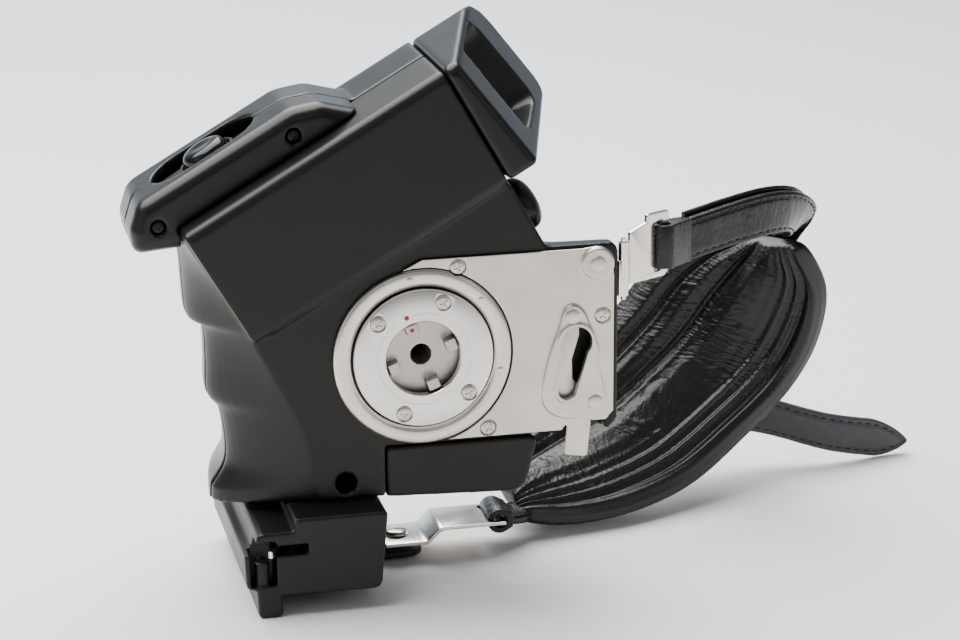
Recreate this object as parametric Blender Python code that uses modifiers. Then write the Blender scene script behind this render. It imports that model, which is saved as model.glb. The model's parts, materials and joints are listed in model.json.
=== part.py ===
"""Motor winder grip for a medium-format camera, with its drive plate, battery magazine and hand strap.

The winder is drawn in the frame of its camera plate: the origin is the centre of the drive coupling,
+X runs right along the plate, +Z up, and the plate faces -Y. The empty "winder_frame" shifts all of it,
so that the world origin is the middle of the foot print, on the table.

Sizes are in millimetres; MM turns them into metres where a mesh is made.
"""
import math

import bmesh
import bpy
from mathutils import Matrix, Vector

MM = 0.001
TINY = 1e-6
GAP = 0.3

# Frame: where the coupling centre stands above and beside the middle of the footprint.
FRAME_SHIFT = (-41.6, -30.8, 60.4)

# Camera plate and body depth (Y).
PLATE_FRONT = 0.0
PLATE_THICK = 0.8
BODY_FRONT = PLATE_FRONT + PLATE_THICK + GAP
SEAM_Y = 18.0
BODY_BACK = 47.0
WALL = 2.0

# Battery tube: its axis leans TUBE_TILT from level; TUBE_CORNER is its lower left edge.
TUBE_TILT = math.radians(30)
TUBE_CORNER = (-40.9, 6.9)
TUBE_LENGTH = 71.3
TUBE_HEIGHT = 31.7
TUBE_FRONT = -3.0
TUBE_BACK = 43.0
TUBE_WALL = 1.4

# AA cells, three across and two high.
CELL_RADIUS = 7.0
CELL_LENGTH = 50.0
CELL_START = 8.5
CELL_PITCH = 2 * CELL_RADIUS + GAP

# Control pod on the tube.
POD_FRONT = 5.0
POD_BACK = 36.0
POD_TOP = 41.4
BUTTON_ALONG = 14.5
BUTTON_Y = 19.0
RECESS_FLOOR = 36.9

# Drive coupling.
RING_RADIUS = 22.0
FLANGE_RADIUS = 17.1
MOUTH_RADIUS = 9.2
CLAW_RADIUS = 9.8
CLAW_FLOOR = 2.6
SPINDLE_BORE = 2.6
SPINDLE_RADIUS = 4.5

# Gear train: module, teeth and shaft centres (x, z).
GEAR_MODULE = 0.6
OUTPUT_TEETH = 36
WHEEL_TEETH = 36
SECOND_PINION_TEETH = 18
PINION_TEETH = 12
SECOND_SHAFT = (-16.2, 0.0)
FIRST_SHAFT = (-29.73, -4.92)
MOTOR_SHAFT = (-29.73, -19.32)
AXLE_RADIUS = 1.0

# Foot.
FOOT_FRONT = -8.0
FOOT_BACK = 49.0
FINGER_PIVOT = (-33.0, 0.0)
FINGER_LEVEL = -43.4

# Strap.
STRAP_WIDTH = 11.0
PAD_THICK = 9.0
BRACKET_TURN = math.radians(28)

ROUND_STEPS = 24


# ---------------------------------------------------------------- scene, materials

def clear_scene():
    for old in list(bpy.data.objects):
        bpy.data.objects.remove(old, do_unlink=True)


def new_collection(name):
    collection = bpy.data.collections.new(name)
    bpy.context.scene.collection.children.link(collection)
    return collection


def material(name, colour, roughness, metallic=0.0):
    made = bpy.data.materials.new(name)
    made.use_nodes = True
    shader = made.node_tree.nodes["Principled BSDF"]
    shader.inputs["Base Color"].default_value = (*colour, 1.0)
    shader.inputs["Roughness"].default_value = roughness
    shader.inputs["Metallic"].default_value = metallic
    return made


clear_scene()
PARTS = new_collection("motor_winder_grip")
CUTTERS = new_collection("cutters")
FRAME = bpy.data.objects.new("winder_frame", None)
FRAME.location = [value * MM for value in FRAME_SHIFT]
PARTS.objects.link(FRAME)

# These shells take many overlapping cuts, which the exact solver loses.
LAYERED_SHELLS = ("inner_shell", "outer_shell", "pod_cover", "camera_plate", "coupling_ring",
                  "coupling_flange")

FINISH = {
    "black_plastic": ((0.020, 0.020, 0.021), 0.38, 0.0),
    "dark_plastic": ((0.012, 0.012, 0.012), 0.55, 0.0),
    "plate_metal": ((0.62, 0.58, 0.54), 0.38, 1.0),
    "bright_metal": ((0.75, 0.74, 0.72), 0.25, 1.0),
    "steel": ((0.45, 0.44, 0.42), 0.35, 1.0),
    "brass": ((0.60, 0.45, 0.20), 0.35, 1.0),
    "leather": ((0.018, 0.017, 0.017), 0.45, 0.0),
    "board_green": ((0.03, 0.14, 0.07), 0.50, 0.0),
    "cell_wrap": ((0.10, 0.10, 0.11), 0.35, 0.0),
}


def finish_of(slot, node):
    """A material of the node's own, in the slot's finish."""
    colour, roughness, metallic = FINISH[slot]
    return material(f"{node}_{slot}", colour, roughness, metallic)


# ---------------------------------------------------------------- placing

def frame_at(origin, u_axis, v_axis):
    """A place whose local x and y run along u and v, from an origin in millimetres."""
    u = Vector(u_axis).normalized()
    v = Vector(v_axis).normalized()
    w = u.cross(v)
    rows = Matrix((u, v, w)).transposed().to_4x4()
    return Matrix.Translation(Vector(origin) * MM) @ rows


ALONG = Vector((math.cos(TUBE_TILT), 0.0, math.sin(TUBE_TILT)))
ACROSS = Vector((-math.sin(TUBE_TILT), 0.0, math.cos(TUBE_TILT)))
DEPTH = Vector((0.0, 1.0, 0.0))


def on_tube(along, across, y):
    """A point given along and across the battery tube."""
    corner = Vector((TUBE_CORNER[0], y, TUBE_CORNER[1]))
    return corner + ALONG * along + ACROSS * across


def facing_plate(x=0.0, z=0.0, y=0.0):
    """Local x, y run along +X and +Z; local z points at the camera side, -Y."""
    return frame_at((x, y, z), (1, 0, 0), (0, 0, 1))


def facing_tube(along=0.0, across=0.0, y=0.0):
    """Local x, y run along and across the tube; local z points at -Y."""
    return frame_at(on_tube(along, across, y), ALONG, ACROSS)


def down_tube(along=0.0, across=0.0, y=0.0):
    """Local x, y run along Y and across the tube; local z runs along the tube."""
    return frame_at(on_tube(along, across, y), DEPTH, ACROSS)


def above_pod(along, across, y):
    """Local z points straight out of the pod's top; local x runs along the tube."""
    return frame_at(on_tube(along, across, y), ALONG, DEPTH)


def add_part(name, mesh, slot, place):
    mesh.materials.clear()
    mesh.materials.append(finish_of(slot, name))
    made = bpy.data.objects.new(name, mesh)
    made.parent = FRAME
    made.matrix_local = place
    PARTS.objects.link(made)
    return made


def add_cutter(name, mesh, place):
    made = bpy.data.objects.new(name, mesh)
    made.parent = FRAME
    made.matrix_local = place
    made.hide_render = True
    made.display_type = "WIRE"
    CUTTERS.objects.link(made)
    return made


def boolean(target, other, operation):
    step = target.modifiers.new(f"{operation.lower()}_{other.name}", "BOOLEAN")
    step.operation = operation
    step.object = other
    step.solver = "MANIFOLD" if target.name in LAYERED_SHELLS else "EXACT"


def cut(target, mesh, place):
    boolean(target, add_cutter(f"{target.name}_cut", mesh, place), "DIFFERENCE")


def join(target, mesh, place):
    boolean(target, add_cutter(f"{target.name}_add", mesh, place), "UNION")


def bevel(target, width, segments=1, angle=40):
    step = target.modifiers.new("rounded_edges", "BEVEL")
    step.width = width * MM
    step.segments = segments
    step.limit_method = "ANGLE"
    step.angle_limit = math.radians(angle)


def smooth(target, angle=35):
    target.data.shade_smooth()
    target.data.set_sharp_from_angle(angle=math.radians(angle))


# ---------------------------------------------------------------- outlines (millimetres)

def arc(centre, radius, start, end, steps):
    """Points of an arc, angles in degrees."""
    points = []
    for index in range(steps + 1):
        angle = math.radians(start + (end - start) * index / steps)
        points.append((centre[0] + radius * math.cos(angle), centre[1] + radius * math.sin(angle)))
    return points


def circle(radius, centre=(0.0, 0.0), steps=ROUND_STEPS):
    return arc(centre, radius, 0, 360, steps)[:-1]


def rounded(corners, steps=3):
    """Corner list of (x, y, radius) turned into an outline with round corners."""
    outline = []
    count = len(corners)
    for index, (x, y, radius) in enumerate(corners):
        here = Vector((x, y))
        if radius == 0:
            outline.append((x, y))
            continue
        before = (Vector(corners[index - 1][:2]) - here).normalized()
        after = (Vector(corners[(index + 1) % count][:2]) - here).normalized()
        half = before.angle(after) / 2
        middle = here + (before + after).normalized() * (radius / math.sin(half))
        spoke = here + before * (radius / math.tan(half)) - middle
        turn = (math.pi - 2 * half) * math.copysign(1.0, -before.cross(after))
        for step in range(steps + 1):
            angle = math.atan2(spoke.y, spoke.x) + turn * step / steps
            outline.append((middle.x + radius * math.cos(angle), middle.y + radius * math.sin(angle)))
    return outline


def rectangle(width, height, radius=0.0, centre=(0.0, 0.0), steps=3):
    x, y = centre
    corners = [(x - width / 2, y - height / 2, radius), (x + width / 2, y - height / 2, radius),
               (x + width / 2, y + height / 2, radius), (x - width / 2, y + height / 2, radius)]
    return rounded(corners, steps)


def inset(outline, distance):
    """The outline moved inward by a distance; it runs anticlockwise."""
    moved = []
    count = len(outline)
    for index in range(count):
        here = Vector(outline[index])
        before = (here - Vector(outline[index - 1])).normalized()
        after = (Vector(outline[(index + 1) % count]) - here).normalized()
        normal = Vector((-before.y, before.x)) + Vector((-after.y, after.x))
        normal.normalize()
        stretch = max(0.5, normal.dot(Vector((-before.y, before.x))))
        moved.append(tuple(here + normal * (distance / stretch)))
    return moved


# ---------------------------------------------------------------- meshes

def flat(loops, thickness):
    """A flat sheet from a 2D curve: the first loop is its edge, any others are holes."""
    curve = bpy.data.curves.new("outline", "CURVE")
    curve.dimensions = "2D"
    curve.fill_mode = "BOTH"
    curve.extrude = thickness * MM / 2
    for loop in loops:
        spline = curve.splines.new("POLY")
        spline.points.add(len(loop) - 1)
        for point, (x, y) in zip(spline.points, loop):
            point.co = (x * MM, y * MM, 0.0, 1.0)
        spline.use_cyclic_u = True
    holder = bpy.data.objects.new("outline", curve)
    bpy.context.scene.collection.objects.link(holder)
    bpy.context.view_layer.update()
    graph = bpy.context.evaluated_depsgraph_get()
    mesh = bpy.data.meshes.new_from_object(holder.evaluated_get(graph))
    bpy.data.objects.remove(holder, do_unlink=True)
    bpy.data.curves.remove(curve)
    return tidy_mesh(mesh)


def tidy_mesh(mesh):
    """Welds a curve's caps and merges its flat faces."""
    work = bmesh.new()
    work.from_mesh(mesh)
    bmesh.ops.remove_doubles(work, verts=work.verts, dist=TINY)
    bmesh.ops.dissolve_limit(work, angle_limit=math.radians(0.5), verts=work.verts, edges=work.edges)
    bmesh.ops.recalc_face_normals(work, faces=work.faces)
    work.to_mesh(mesh)
    work.free()
    return mesh


def slab(loops, back, front):
    """A flat sheet between two depths; local z is the way it faces."""
    mesh = flat(loops, front - back)
    mesh.transform(Matrix.Translation((0.0, 0.0, (front + back) * MM / 2)))
    return mesh


def box(size, centre=(0.0, 0.0, 0.0)):
    work = bmesh.new()
    spread = Matrix.Diagonal((*(value * MM for value in size), 1.0))
    bmesh.ops.create_cube(work, size=1.0, matrix=Matrix.Translation(Vector(centre) * MM) @ spread)
    return finished(work, "box")


def cylinder(radius, low, high, centre=(0.0, 0.0), steps=ROUND_STEPS, top_radius=None):
    """A cylinder or a cone along local z."""
    work = bmesh.new()
    middle = Vector((centre[0], centre[1], (low + high) / 2)) * MM
    bmesh.ops.create_cone(work, cap_ends=True, segments=steps, radius1=radius * MM,
                          radius2=(radius if top_radius is None else top_radius) * MM,
                          depth=(high - low) * MM, matrix=Matrix.Translation(middle))
    return finished(work, "cylinder")


def finished(work, name):
    mesh = bpy.data.meshes.new(name)
    work.to_mesh(mesh)
    work.free()
    return mesh


def loft(rings):
    """A closed body through rings of points with the same count, each seen anticlockwise from the last."""
    work = bmesh.new()
    rows = []
    for ring in rings:
        rows.append([work.verts.new(Vector(point) * MM) for point in ring])
    count = len(rows[0])
    for low, high in zip(rows, rows[1:]):
        for index in range(count):
            follow = (index + 1) % count
            work.faces.new((low[index], low[follow], high[follow], high[index]))
    work.faces.new(reversed(rows[0]))
    work.faces.new(rows[-1])
    bmesh.ops.recalc_face_normals(work, faces=work.faces)
    return finished(work, "loft")


def turned(name, profile, slot, place, closed=False, steps=ROUND_STEPS):
    """A turned piece: (radius, height) points down its outer side, spun about local z."""
    work = bmesh.new()
    points = [work.verts.new((radius * MM, 0.0, height * MM)) for radius, height in profile]
    for first, second in zip(points, points[1:]):
        work.edges.new((first, second))
    if closed:
        work.edges.new((points[-1], points[0]))
    made = add_part(name, finished(work, name), slot, place)
    spin = made.modifiers.new("turned", "SCREW")
    spin.axis = "Z"
    spin.angle = 2 * math.pi
    spin.steps = steps
    spin.render_steps = steps
    spin.use_merge_vertices = True
    spin.merge_threshold = 0.00001
    spin.use_smooth_shade = True
    return made


def wire(name, points, radius, slot, place, cyclic=False):
    """A round wire along a path of points."""
    curve = bpy.data.curves.new(name, "CURVE")
    curve.dimensions = "3D"
    curve.bevel_depth = radius * MM
    curve.bevel_resolution = 2
    curve.use_fill_caps = not cyclic
    spline = curve.splines.new("POLY")
    spline.points.add(len(points) - 1)
    for point, position in zip(spline.points, points):
        point.co = (*(Vector(position) * MM), 1.0)
    spline.use_cyclic_u = cyclic
    curve.materials.append(finish_of(slot, name))
    made = bpy.data.objects.new(name, curve)
    made.parent = FRAME
    made.matrix_local = place
    PARTS.objects.link(made)
    return made


def coil(radius, low, high, turns, steps=8):
    """Points of a helix about local z."""
    count = int(turns * steps)
    points = []
    for index in range(count + 1):
        angle = 2 * math.pi * index / steps
        height = low + (high - low) * index / count
        points.append((radius * math.cos(angle), radius * math.sin(angle), height))
    return points


def path_point(points, where):
    """Catmull-Rom point on a path; where runs from 0 to the last index."""
    last = len(points) - 1
    index = min(int(where), last - 1)
    part = where - index
    before = Vector(points[max(index - 1, 0)])
    first = Vector(points[index])
    second = Vector(points[index + 1])
    after = Vector(points[min(index + 2, last)])
    return 0.5 * (2 * first + (second - before) * part
                  + (2 * before - 5 * first + 4 * second - after) * part ** 2
                  + (3 * first - before - 3 * second + after) * part ** 3)


# ---------------------------------------------------------------- casing

# Each rail of the body: (x, z) at the camera side, at the seam, at the back, and whether it bulges.
BODY_RAILS = [
    ((-56.5, 32.5), (-57.0, 32.5), (-47.0, 31.0), True),
    ((-51.5, 24.6), (-55.6, 24.6), (-45.0, 24.0), True),
    ((-46.6, 16.6), (-55.2, 16.6), (-44.0, 16.0), True),
    ((-42.4, 9.4), (-54.4, 9.4), (-43.0, 9.4), True),
    ((-41.1, 7.2), (-50.8, 7.0), (-41.5, 6.8), True),
    ((-36.0, -3.0), (-50.3, -1.3), (-40.0, -1.3), True),
    ((-32.2, -10.3), (-50.3, -10.3), (-40.0, -10.3), True),
    ((-30.2, -14.4), (-47.4, -14.6), (-38.0, -14.6), True),
    ((-28.4, -19.6), (-46.2, -22.0), (-37.0, -22.0), True),
    ((-27.2, -26.6), (-46.6, -28.7), (-37.2, -28.0), True),
    ((-26.3, -31.5), (-50.0, -34.4), (-38.5, -31.5), True),
    ((-25.8, -34.0), (-50.2, -38.0), (-38.5, -33.2), True),
    ((-24.0, -35.1), (-33.4, -38.1), (-32.0, -33.6), True),
    ((-22.0, -35.1), (-32.6, -35.1), (-31.0, -33.0), True),
    ((-9.4, -35.1), (-9.4, -35.1), (-13.0, -31.0), False),
    ((-9.4, -22.4), (-9.4, -22.4), (-10.0, -22.2), False),
    ((46.8, -22.3), (36.5, -22.0), (0.0, -20.0), False),
    ((48.8, -20.0), (38.0, -19.5), (3.0, -17.0), False),
    ((48.8, 23.6), (38.0, 14.0), (3.0, 8.0), False),
    ((47.4, 25.0), (36.6, 16.0), (2.0, 13.0), False),
    ((31.0, 25.0), (30.5, 23.0), (2.0, 20.0), False),
    ((22.2, 40.8), (22.2, 40.8), (6.0, 33.0), False),
    ((18.6, 44.5), (18.6, 44.5), (2.0, 37.5), False),
    ((-45.0, 21.0), (-44.0, 21.0), (-38.0, 27.0), False),
]
LEDGE_Y = 5.0
BODY_DEPTHS = (LEDGE_Y, 9.0, 13.5, SEAM_Y, 26.0, 33.0, 39.5, 44.5, BODY_BACK)


def body_ring(y):
    """The body's outline at a depth."""
    ring = []
    for near, seam, back, bulges in BODY_RAILS:
        near, seam, back = Vector(near), Vector(seam), Vector(back)
        if y <= SEAM_Y:
            start = BODY_FRONT if bulges else LEDGE_Y
            share = max(0.0, (y - start) / (SEAM_Y - start))
            point = near.lerp(seam, math.sin(share * math.pi / 2) if bulges else share)
        else:
            share = (y - SEAM_Y) / (BODY_BACK - SEAM_Y)
            point = seam.lerp(back, 1 - math.sqrt(max(0.0, 1 - share ** 2)) if bulges else share)
        ring.append((point.x, point.y))
    return ring


def body_mesh(depths, wall=0.0):
    rings = []
    for y, extra in depths:
        rings.append([(x, y, z) for x, z in inset(body_ring(y), wall + extra)])
    return loft(rings)


TUBE_SECTION = [(TUBE_FRONT, 0.0, 1.5), (TUBE_BACK, 0.0, 5.0), (TUBE_BACK, TUBE_HEIGHT, 9.0),
                (TUBE_FRONT, TUBE_HEIGHT, 2.5)]


def bay_section(clearance=0.0):
    """The battery bay's cross-section, or what slides in it with a clearance all round."""
    edge = TUBE_WALL + clearance
    front, back = TUBE_FRONT + edge, TUBE_BACK - edge
    return rounded([(front, edge, 0.8), (back, edge, 3.6), (back, TUBE_HEIGHT - edge, 6.8),
                    (front, TUBE_HEIGHT - edge, 1.8)], 3)


POD_OUTLINE = [(-12.4, 31.6, 2.5), (-10.3, 36.8, 5.0), (-5.2, POD_TOP, 5.0), (36.5, POD_TOP, 8.0),
               (43.5, 38.8, 6.0), (51.5, 31.2, 0.0), (12.0, 20.0, 0.0), (-1.5, 26.6, 0.0)]


def pod_ring(distance):
    """The pod's outline drawn in by a distance, anticlockwise."""
    corners = list(reversed(POD_OUTLINE))
    moved = inset([(x, y) for x, y, _ in corners], distance)
    radii = [max(radius - distance, 0.1) if radius else 0.0 for _, _, radius in corners]
    return rounded([(x, y, radius) for (x, y), radius in zip(moved, radii)], 4)


def pod_mesh(stations):
    """The pod as rings of its outline, each drawn in by a distance, from its back to its front."""
    return loft([[(u, v, -y) for u, v in pod_ring(distance)] for y, distance in stations])


def recess_outline(grow):
    """The stadium-shaped well round the release button."""
    reach = 14.2 + grow
    half = 7.8 + grow
    shift = reach - half
    right = arc((BUTTON_ALONG + shift, 0.0), half, -90, 90, 8)
    left = arc((BUTTON_ALONG - shift, 0.0), half, 90, 270, 8)
    return right + left


def casing(name, other_side):
    """One half of the casing: the body with the tube, parted at the seam and then hollowed."""
    shell = add_part(name, body_mesh([(y, 0) for y in (BODY_FRONT,) + BODY_DEPTHS]), "black_plastic",
                     Matrix.Identity(4))
    join(shell, slab([rounded(TUBE_SECTION, 3)], 0.0, TUBE_LENGTH), down_tube())
    cut(shell, other_side, Matrix.Identity(4))
    cut(shell, body_mesh([(BODY_FRONT + WALL, 0), (9.0, 0), (13.5, 0), (SEAM_Y, 0), (26.0, 0),
                          (33.0, 0), (39.5, 1.0), (44.6, 2.0)], WALL), Matrix.Identity(4))
    return shell


def bay(shell):
    """The battery bay's floor across the body's hollow, and the bay itself, open at the cap's end."""
    floor_back = SEAM_Y if shell.name == "inner_shell" else TUBE_BACK - 1.0
    floor_front = TUBE_FRONT + 1.0 if shell.name == "inner_shell" else SEAM_Y + GAP
    middle = (floor_back + floor_front) / 2
    join(shell, slab([rectangle(TUBE_LENGTH - 6.0, floor_back - floor_front)], -0.8, TUBE_WALL + 1.0),
         above_pod((TUBE_LENGTH + 3.0) / 2, 0.0, middle))
    cut(shell, slab([bay_section()], 1.6, TUBE_LENGTH + 1.0), down_tube())


def main_casing():
    inner = casing("inner_shell", box((300, 100, 300), (0, SEAM_Y + 50, 0)))
    outer = casing("outer_shell", box((300, 100, 300), (0, SEAM_Y + GAP - 50, 0)))
    join(outer, pod_mesh([(POD_BACK, 6.0), (POD_BACK - 2.0, 2.2), (30.0, 0.0), (SEAM_Y + GAP, 0.0)]),
         facing_tube())
    cut(outer, pod_mesh([(32.0, 5.5), (28.0, 2.2), (SEAM_Y - 2.0, 2.2)]), facing_tube())
    bay(inner)
    bay(outer)
    cut(outer, slab([recess_outline(0.0)], RECESS_FLOOR, POD_TOP + 3.0), above_pod(0.0, 0.0, BUTTON_Y))
    cut(outer, slab([recess_outline(-1.0)], 33.6, RECESS_FLOOR + 1.0), above_pod(0.0, 0.0, BUTTON_Y))
    # openings in the camera side: the drive well, a blind round hole and the lock lever's pocket
    cut(inner, cylinder(CLAW_RADIUS + 0.5, -8.0, 1.0, steps=32), facing_plate())
    cut(inner, cylinder(2.65, -8.0, 1.0, (-19.1, -31.1), steps=20), facing_plate())
    for centre in PLATE_SCREWS + FLANGE_SCREWS:
        cut(inner, cylinder(1.15, -2.9, 0.0, centre, 8), facing_plate())
    join(inner, box((21.0, 2.8, 35.0), (35.5, 4.2, -4.0)), Matrix.Identity(4))
    cut(inner, box((19.0, 3.3, 38.5), (36.0, 2.6, -7.6)), Matrix.Identity(4))
    smooth(inner)
    smooth(outer)


def pod_parts():
    cover = add_part("pod_cover", pod_mesh([(SEAM_Y, 0.0), (8.0, 0.0), (5.8, 0.8), (POD_FRONT, 2.6)]),
                     "black_plastic", facing_tube())
    cut(cover, pod_mesh([(SEAM_Y + 1.0, 2.0), (POD_FRONT + 2.4, 2.0)]), facing_tube())
    clear = [(TUBE_FRONT - 4.0, -30.0), (TUBE_BACK, -30.0), (TUBE_BACK, TUBE_HEIGHT + GAP),
             (TUBE_FRONT - 4.0, TUBE_HEIGHT + GAP)]
    cut(cover, slab([clear], -0.4, TUBE_LENGTH), down_tube())
    cut(cover, body_mesh([(-6.0, -GAP), (LEDGE_Y, -GAP), (9.0, -GAP), (13.5, -GAP), (SEAM_Y + 0.5, -GAP)]),
        Matrix.Identity(4))
    cut(cover, slab([recess_outline(0.0)], RECESS_FLOOR, POD_TOP + 3.0), above_pod(0.0, 0.0, BUTTON_Y))
    cut(cover, slab([recess_outline(-1.0)], 33.6, RECESS_FLOOR + 1.0), above_pod(0.0, 0.0, BUTTON_Y))
    for along, across in POD_SCREWS:
        cut(cover, cylinder(1.9, -POD_FRONT - 1.4, -POD_FRONT + 1.0, (along, across), 16), facing_tube())
    for number, (along, across) in enumerate(POD_SCREWS, 1):
        cut(cover, cylinder(0.9, -POD_FRONT - 4.0, -POD_FRONT, (along, across), 12), facing_tube())
        smooth(add_part(f"pod_screw_{number}", screw_mesh(1.5, 0.7, 3.0), "steel",
                        facing_tube(along, across, POD_FRONT + 1.1)))
    smooth(cover)


POD_SCREWS = [(34.2, 35.6), (-3.9, 34.6)]


def screw_mesh(head, height, length):
    """A screw whose head's top is at local z = height and whose shank runs down local -z."""
    thread = head * 0.42
    profile = [(0.0, height), (head * 0.75, height), (head, height * 0.55), (thread, 0.0), (thread, -length),
               (0.0, -length)]
    return revolved(profile, 12)


def revolved(profile, steps):
    """A solid of revolution as a mesh; the profile runs from the axis down its outer side to the axis."""
    work = bmesh.new()
    points = [work.verts.new((radius * MM, 0.0, height * MM)) for radius, height in profile]
    edges = [work.edges.new(pair) for pair in zip(points, points[1:])]
    bmesh.ops.spin(work, geom=points + edges, cent=(0, 0, 0), axis=(0, 0, 1), angle=2 * math.pi,
                   steps=steps, use_merge=False)
    bmesh.ops.remove_doubles(work, verts=work.verts, dist=TINY)
    bmesh.ops.recalc_face_normals(work, faces=work.faces)
    return finished(work, "revolved")


# ---------------------------------------------------------------- release button and its neighbours

def control_parts():
    panel = add_part("control_panel", slab([recess_outline(-GAP - 0.2), circle(1.8, (BUTTON_ALONG, 0.0), 16)],
                                           RECESS_FLOOR - 0.2, RECESS_FLOOR + 0.9),
                     "dark_plastic", above_pod(0.0, 0.0, BUTTON_Y))
    smooth(panel)
    button_place = above_pod(BUTTON_ALONG, 0.0, BUTTON_Y)
    dome = [(0.0, 42.4), (2.2, 42.2), (4.2, 41.5), (5.5, 40.4), (6.1, 39.0), (3.2, 39.0), (3.2, 40.4),
            (1.3, 40.4), (1.3, 34.9), (0.0, 34.9)]
    turned("release_button", dome, "black_plastic", button_place, steps=28)
    wire("button_spring", coil(2.2, 38.1, 40.0, 3.0), 0.2, "steel", button_place)
    collar = add_part("mode_collar", slab([collar_outline(), circle(6.5, steps=28)], 38.1, 39.6),
                      "dark_plastic", button_place)
    smooth(collar)
    switch = add_part("release_switch", box((6.0, 4.0, 1.0), (0.0, 0.0, 32.5)), "dark_plastic",
                      button_place)
    join(switch, cylinder(0.8, 32.8, 33.6, steps=12), button_place)


def collar_outline():
    """A ring whose one side runs out into a lever tab, away from the tube's cap."""
    half_tab = 13.0
    ring = arc((0.0, 0.0), 7.3, -180 + half_tab, 180 - half_tab, 26)
    return ring + [(-11.4, 1.5), (-11.4, -1.5)]


# ---------------------------------------------------------------- camera plate

LEVER_PIVOT = (37.0, 7.6)


def plate_outline():
    """The plate runs from the coupling ring to the right; its left edge is round the ring."""
    reach = RING_RADIUS + GAP
    start = math.degrees(math.atan2(-21.6, 5.6))
    end = math.degrees(math.atan2(21.6, -5.5))
    ring_side = arc((0.0, 0.0), reach, end, start, 20)
    corner = arc((43.2, 20.2), 4.4, -20, 100, 5)
    return ring_side + [(34.4, -21.6), (35.9, -19.4), (45.6, -19.6), (47.5, -17.4), (47.5, 17.2)] \
        + corner + [(39.6, 24.2), (0.0, 24.2)]


def keyhole_outline():
    """A round mouth that runs down into a slot with a round end."""
    mouth = arc((37.9, 1.0), 3.9, -42, 215, 12)
    end = arc((35.6, -11.0), 2.3, 180, 350, 6)
    return mouth + end


def plate_parts():
    holes = [circle(1.25, centre, 12) for centre in PLATE_SCREWS]
    pivot_hole = circle(0.95, LEVER_PIVOT, 12)
    plate = add_part("camera_plate", slab([plate_outline(), keyhole_outline(), pivot_hole, *holes],
                                          -PLATE_THICK, 0.0), "plate_metal", facing_plate())
    for centre in PLATE_SCREWS:
        countersink(plate, centre, 0.0)
    cut(plate, cylinder(2.0, -0.6, 1.0, LEVER_PIVOT, 16), facing_plate())
    for centre in FIXED_RIVETS:
        join(plate, cylinder(1.7, -0.4, 0.5, centre, 14, top_radius=1.3), facing_plate())
    smooth(plate)
    ring = turned("coupling_ring", [(17.9, 0.1), (19.0, 0.5), (20.8, 0.5), (21.9, 0.0), (21.9, -PLATE_THICK),
                             (17.5, -PLATE_THICK), (17.5, -0.4)],
           "plate_metal", facing_plate(), closed=True, steps=48)
    # the upper plate screw reaches over the ring's edge, so the ring has a notch for it
    cut(ring, cylinder(2.2, -2.0, 2.0, PLATE_SCREWS[0], 16), facing_plate())
    flange = slab([circle(FLANGE_RADIUS, steps=48), circle(MOUTH_RADIUS, steps=32),
                   *[circle(1.25, centre, 12) for centre in FLANGE_SCREWS]], -PLATE_THICK, 1.2)
    flange = add_part("coupling_flange", flange, "bright_metal", facing_plate())
    for centre in FLANGE_SCREWS:
        countersink(flange, centre, 1.2)
    smooth(flange)
    for number, centre in enumerate(PLATE_SCREWS, 1):
        plate_screw(f"plate_screw_{number}", centre, 0.0)
    for number, centre in enumerate(FLANGE_SCREWS, 1):
        plate_screw(f"flange_screw_{number}", centre, 1.2)
    x, z = LEVER_PIVOT
    rivet = [(0.0, 0.45), (1.3, 0.42), (1.7, 0.2), (0.6, 0.0), (0.6, -2.4), (0.0, -2.4)]
    smooth(add_part("lever_rivet", revolved(rivet, 14), "plate_metal", facing_plate(x, z, 0.5)))


PLATE_SCREWS = [(8.8, 21.8), (44.7, 7.2), (16.0, -19.3)]
FIXED_RIVETS = [(42.6, -14.6), (43.2, 20.4)]
FLANGE_SCREWS = [(14.5 * math.cos(math.radians(angle)), 14.5 * math.sin(math.radians(angle)))
                 for angle in (70.0, 139.5, 250.0, 319.5)]


HEAD_SINK = 0.65


def countersink(sheet, centre, face):
    """A screw's hole widened to sink its head just below a face that the camera lies on."""
    cut(sheet, cylinder(2.2, face - 0.45, face + 1.0, centre, 16), facing_plate())
    cut(sheet, cylinder(1.2, face - 0.77, face - 0.44, centre, 16, top_radius=2.2), facing_plate())


def plate_screw(name, centre, face):
    """A cross-head screw whose head is sunk just below a face of the plate."""
    x, z = centre
    place = facing_plate(x, z, HEAD_SINK - face)
    screw = add_part(name, screw_mesh(1.9, 0.6, face + 1.65), "bright_metal", place)
    for size in ((2.0, 0.5, 0.5), (0.5, 2.0, 0.5)):
        cut(screw, box(size, (0.0, 0.0, 0.6)), place)
    smooth(screw)


def lock_parts():
    x0, z0 = LEVER_PIVOT
    outline = [(x - x0, z - z0) for x, z in LEVER_OUTLINE]
    lever = add_part("lock_lever", slab([outline, circle(0.95, steps=12)], -0.4, 0.4),
                     "plate_metal", facing_plate(x0, z0, 2.0))
    smooth(lever)
    wire("lock_spring", coil(0.8, 0.0, 5.0, 6.0, 6), 0.2, "steel",
         frame_at((27.0, 2.65, -15.0), (0, 1, 0), (0, 0, 1)))


LEVER_OUTLINE = [(33.6, 9.6), (33.4, -10.0), (33.0, -20.0), (36.4, -21.0), (35.6, -28.6), (41.3, -29.4),
                 (42.2, -20.5), (41.0, -13.0), (37.6, -9.0), (37.4, -4.0), (39.2, 2.0), (39.2, 9.6)]


# ---------------------------------------------------------------- drive

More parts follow.
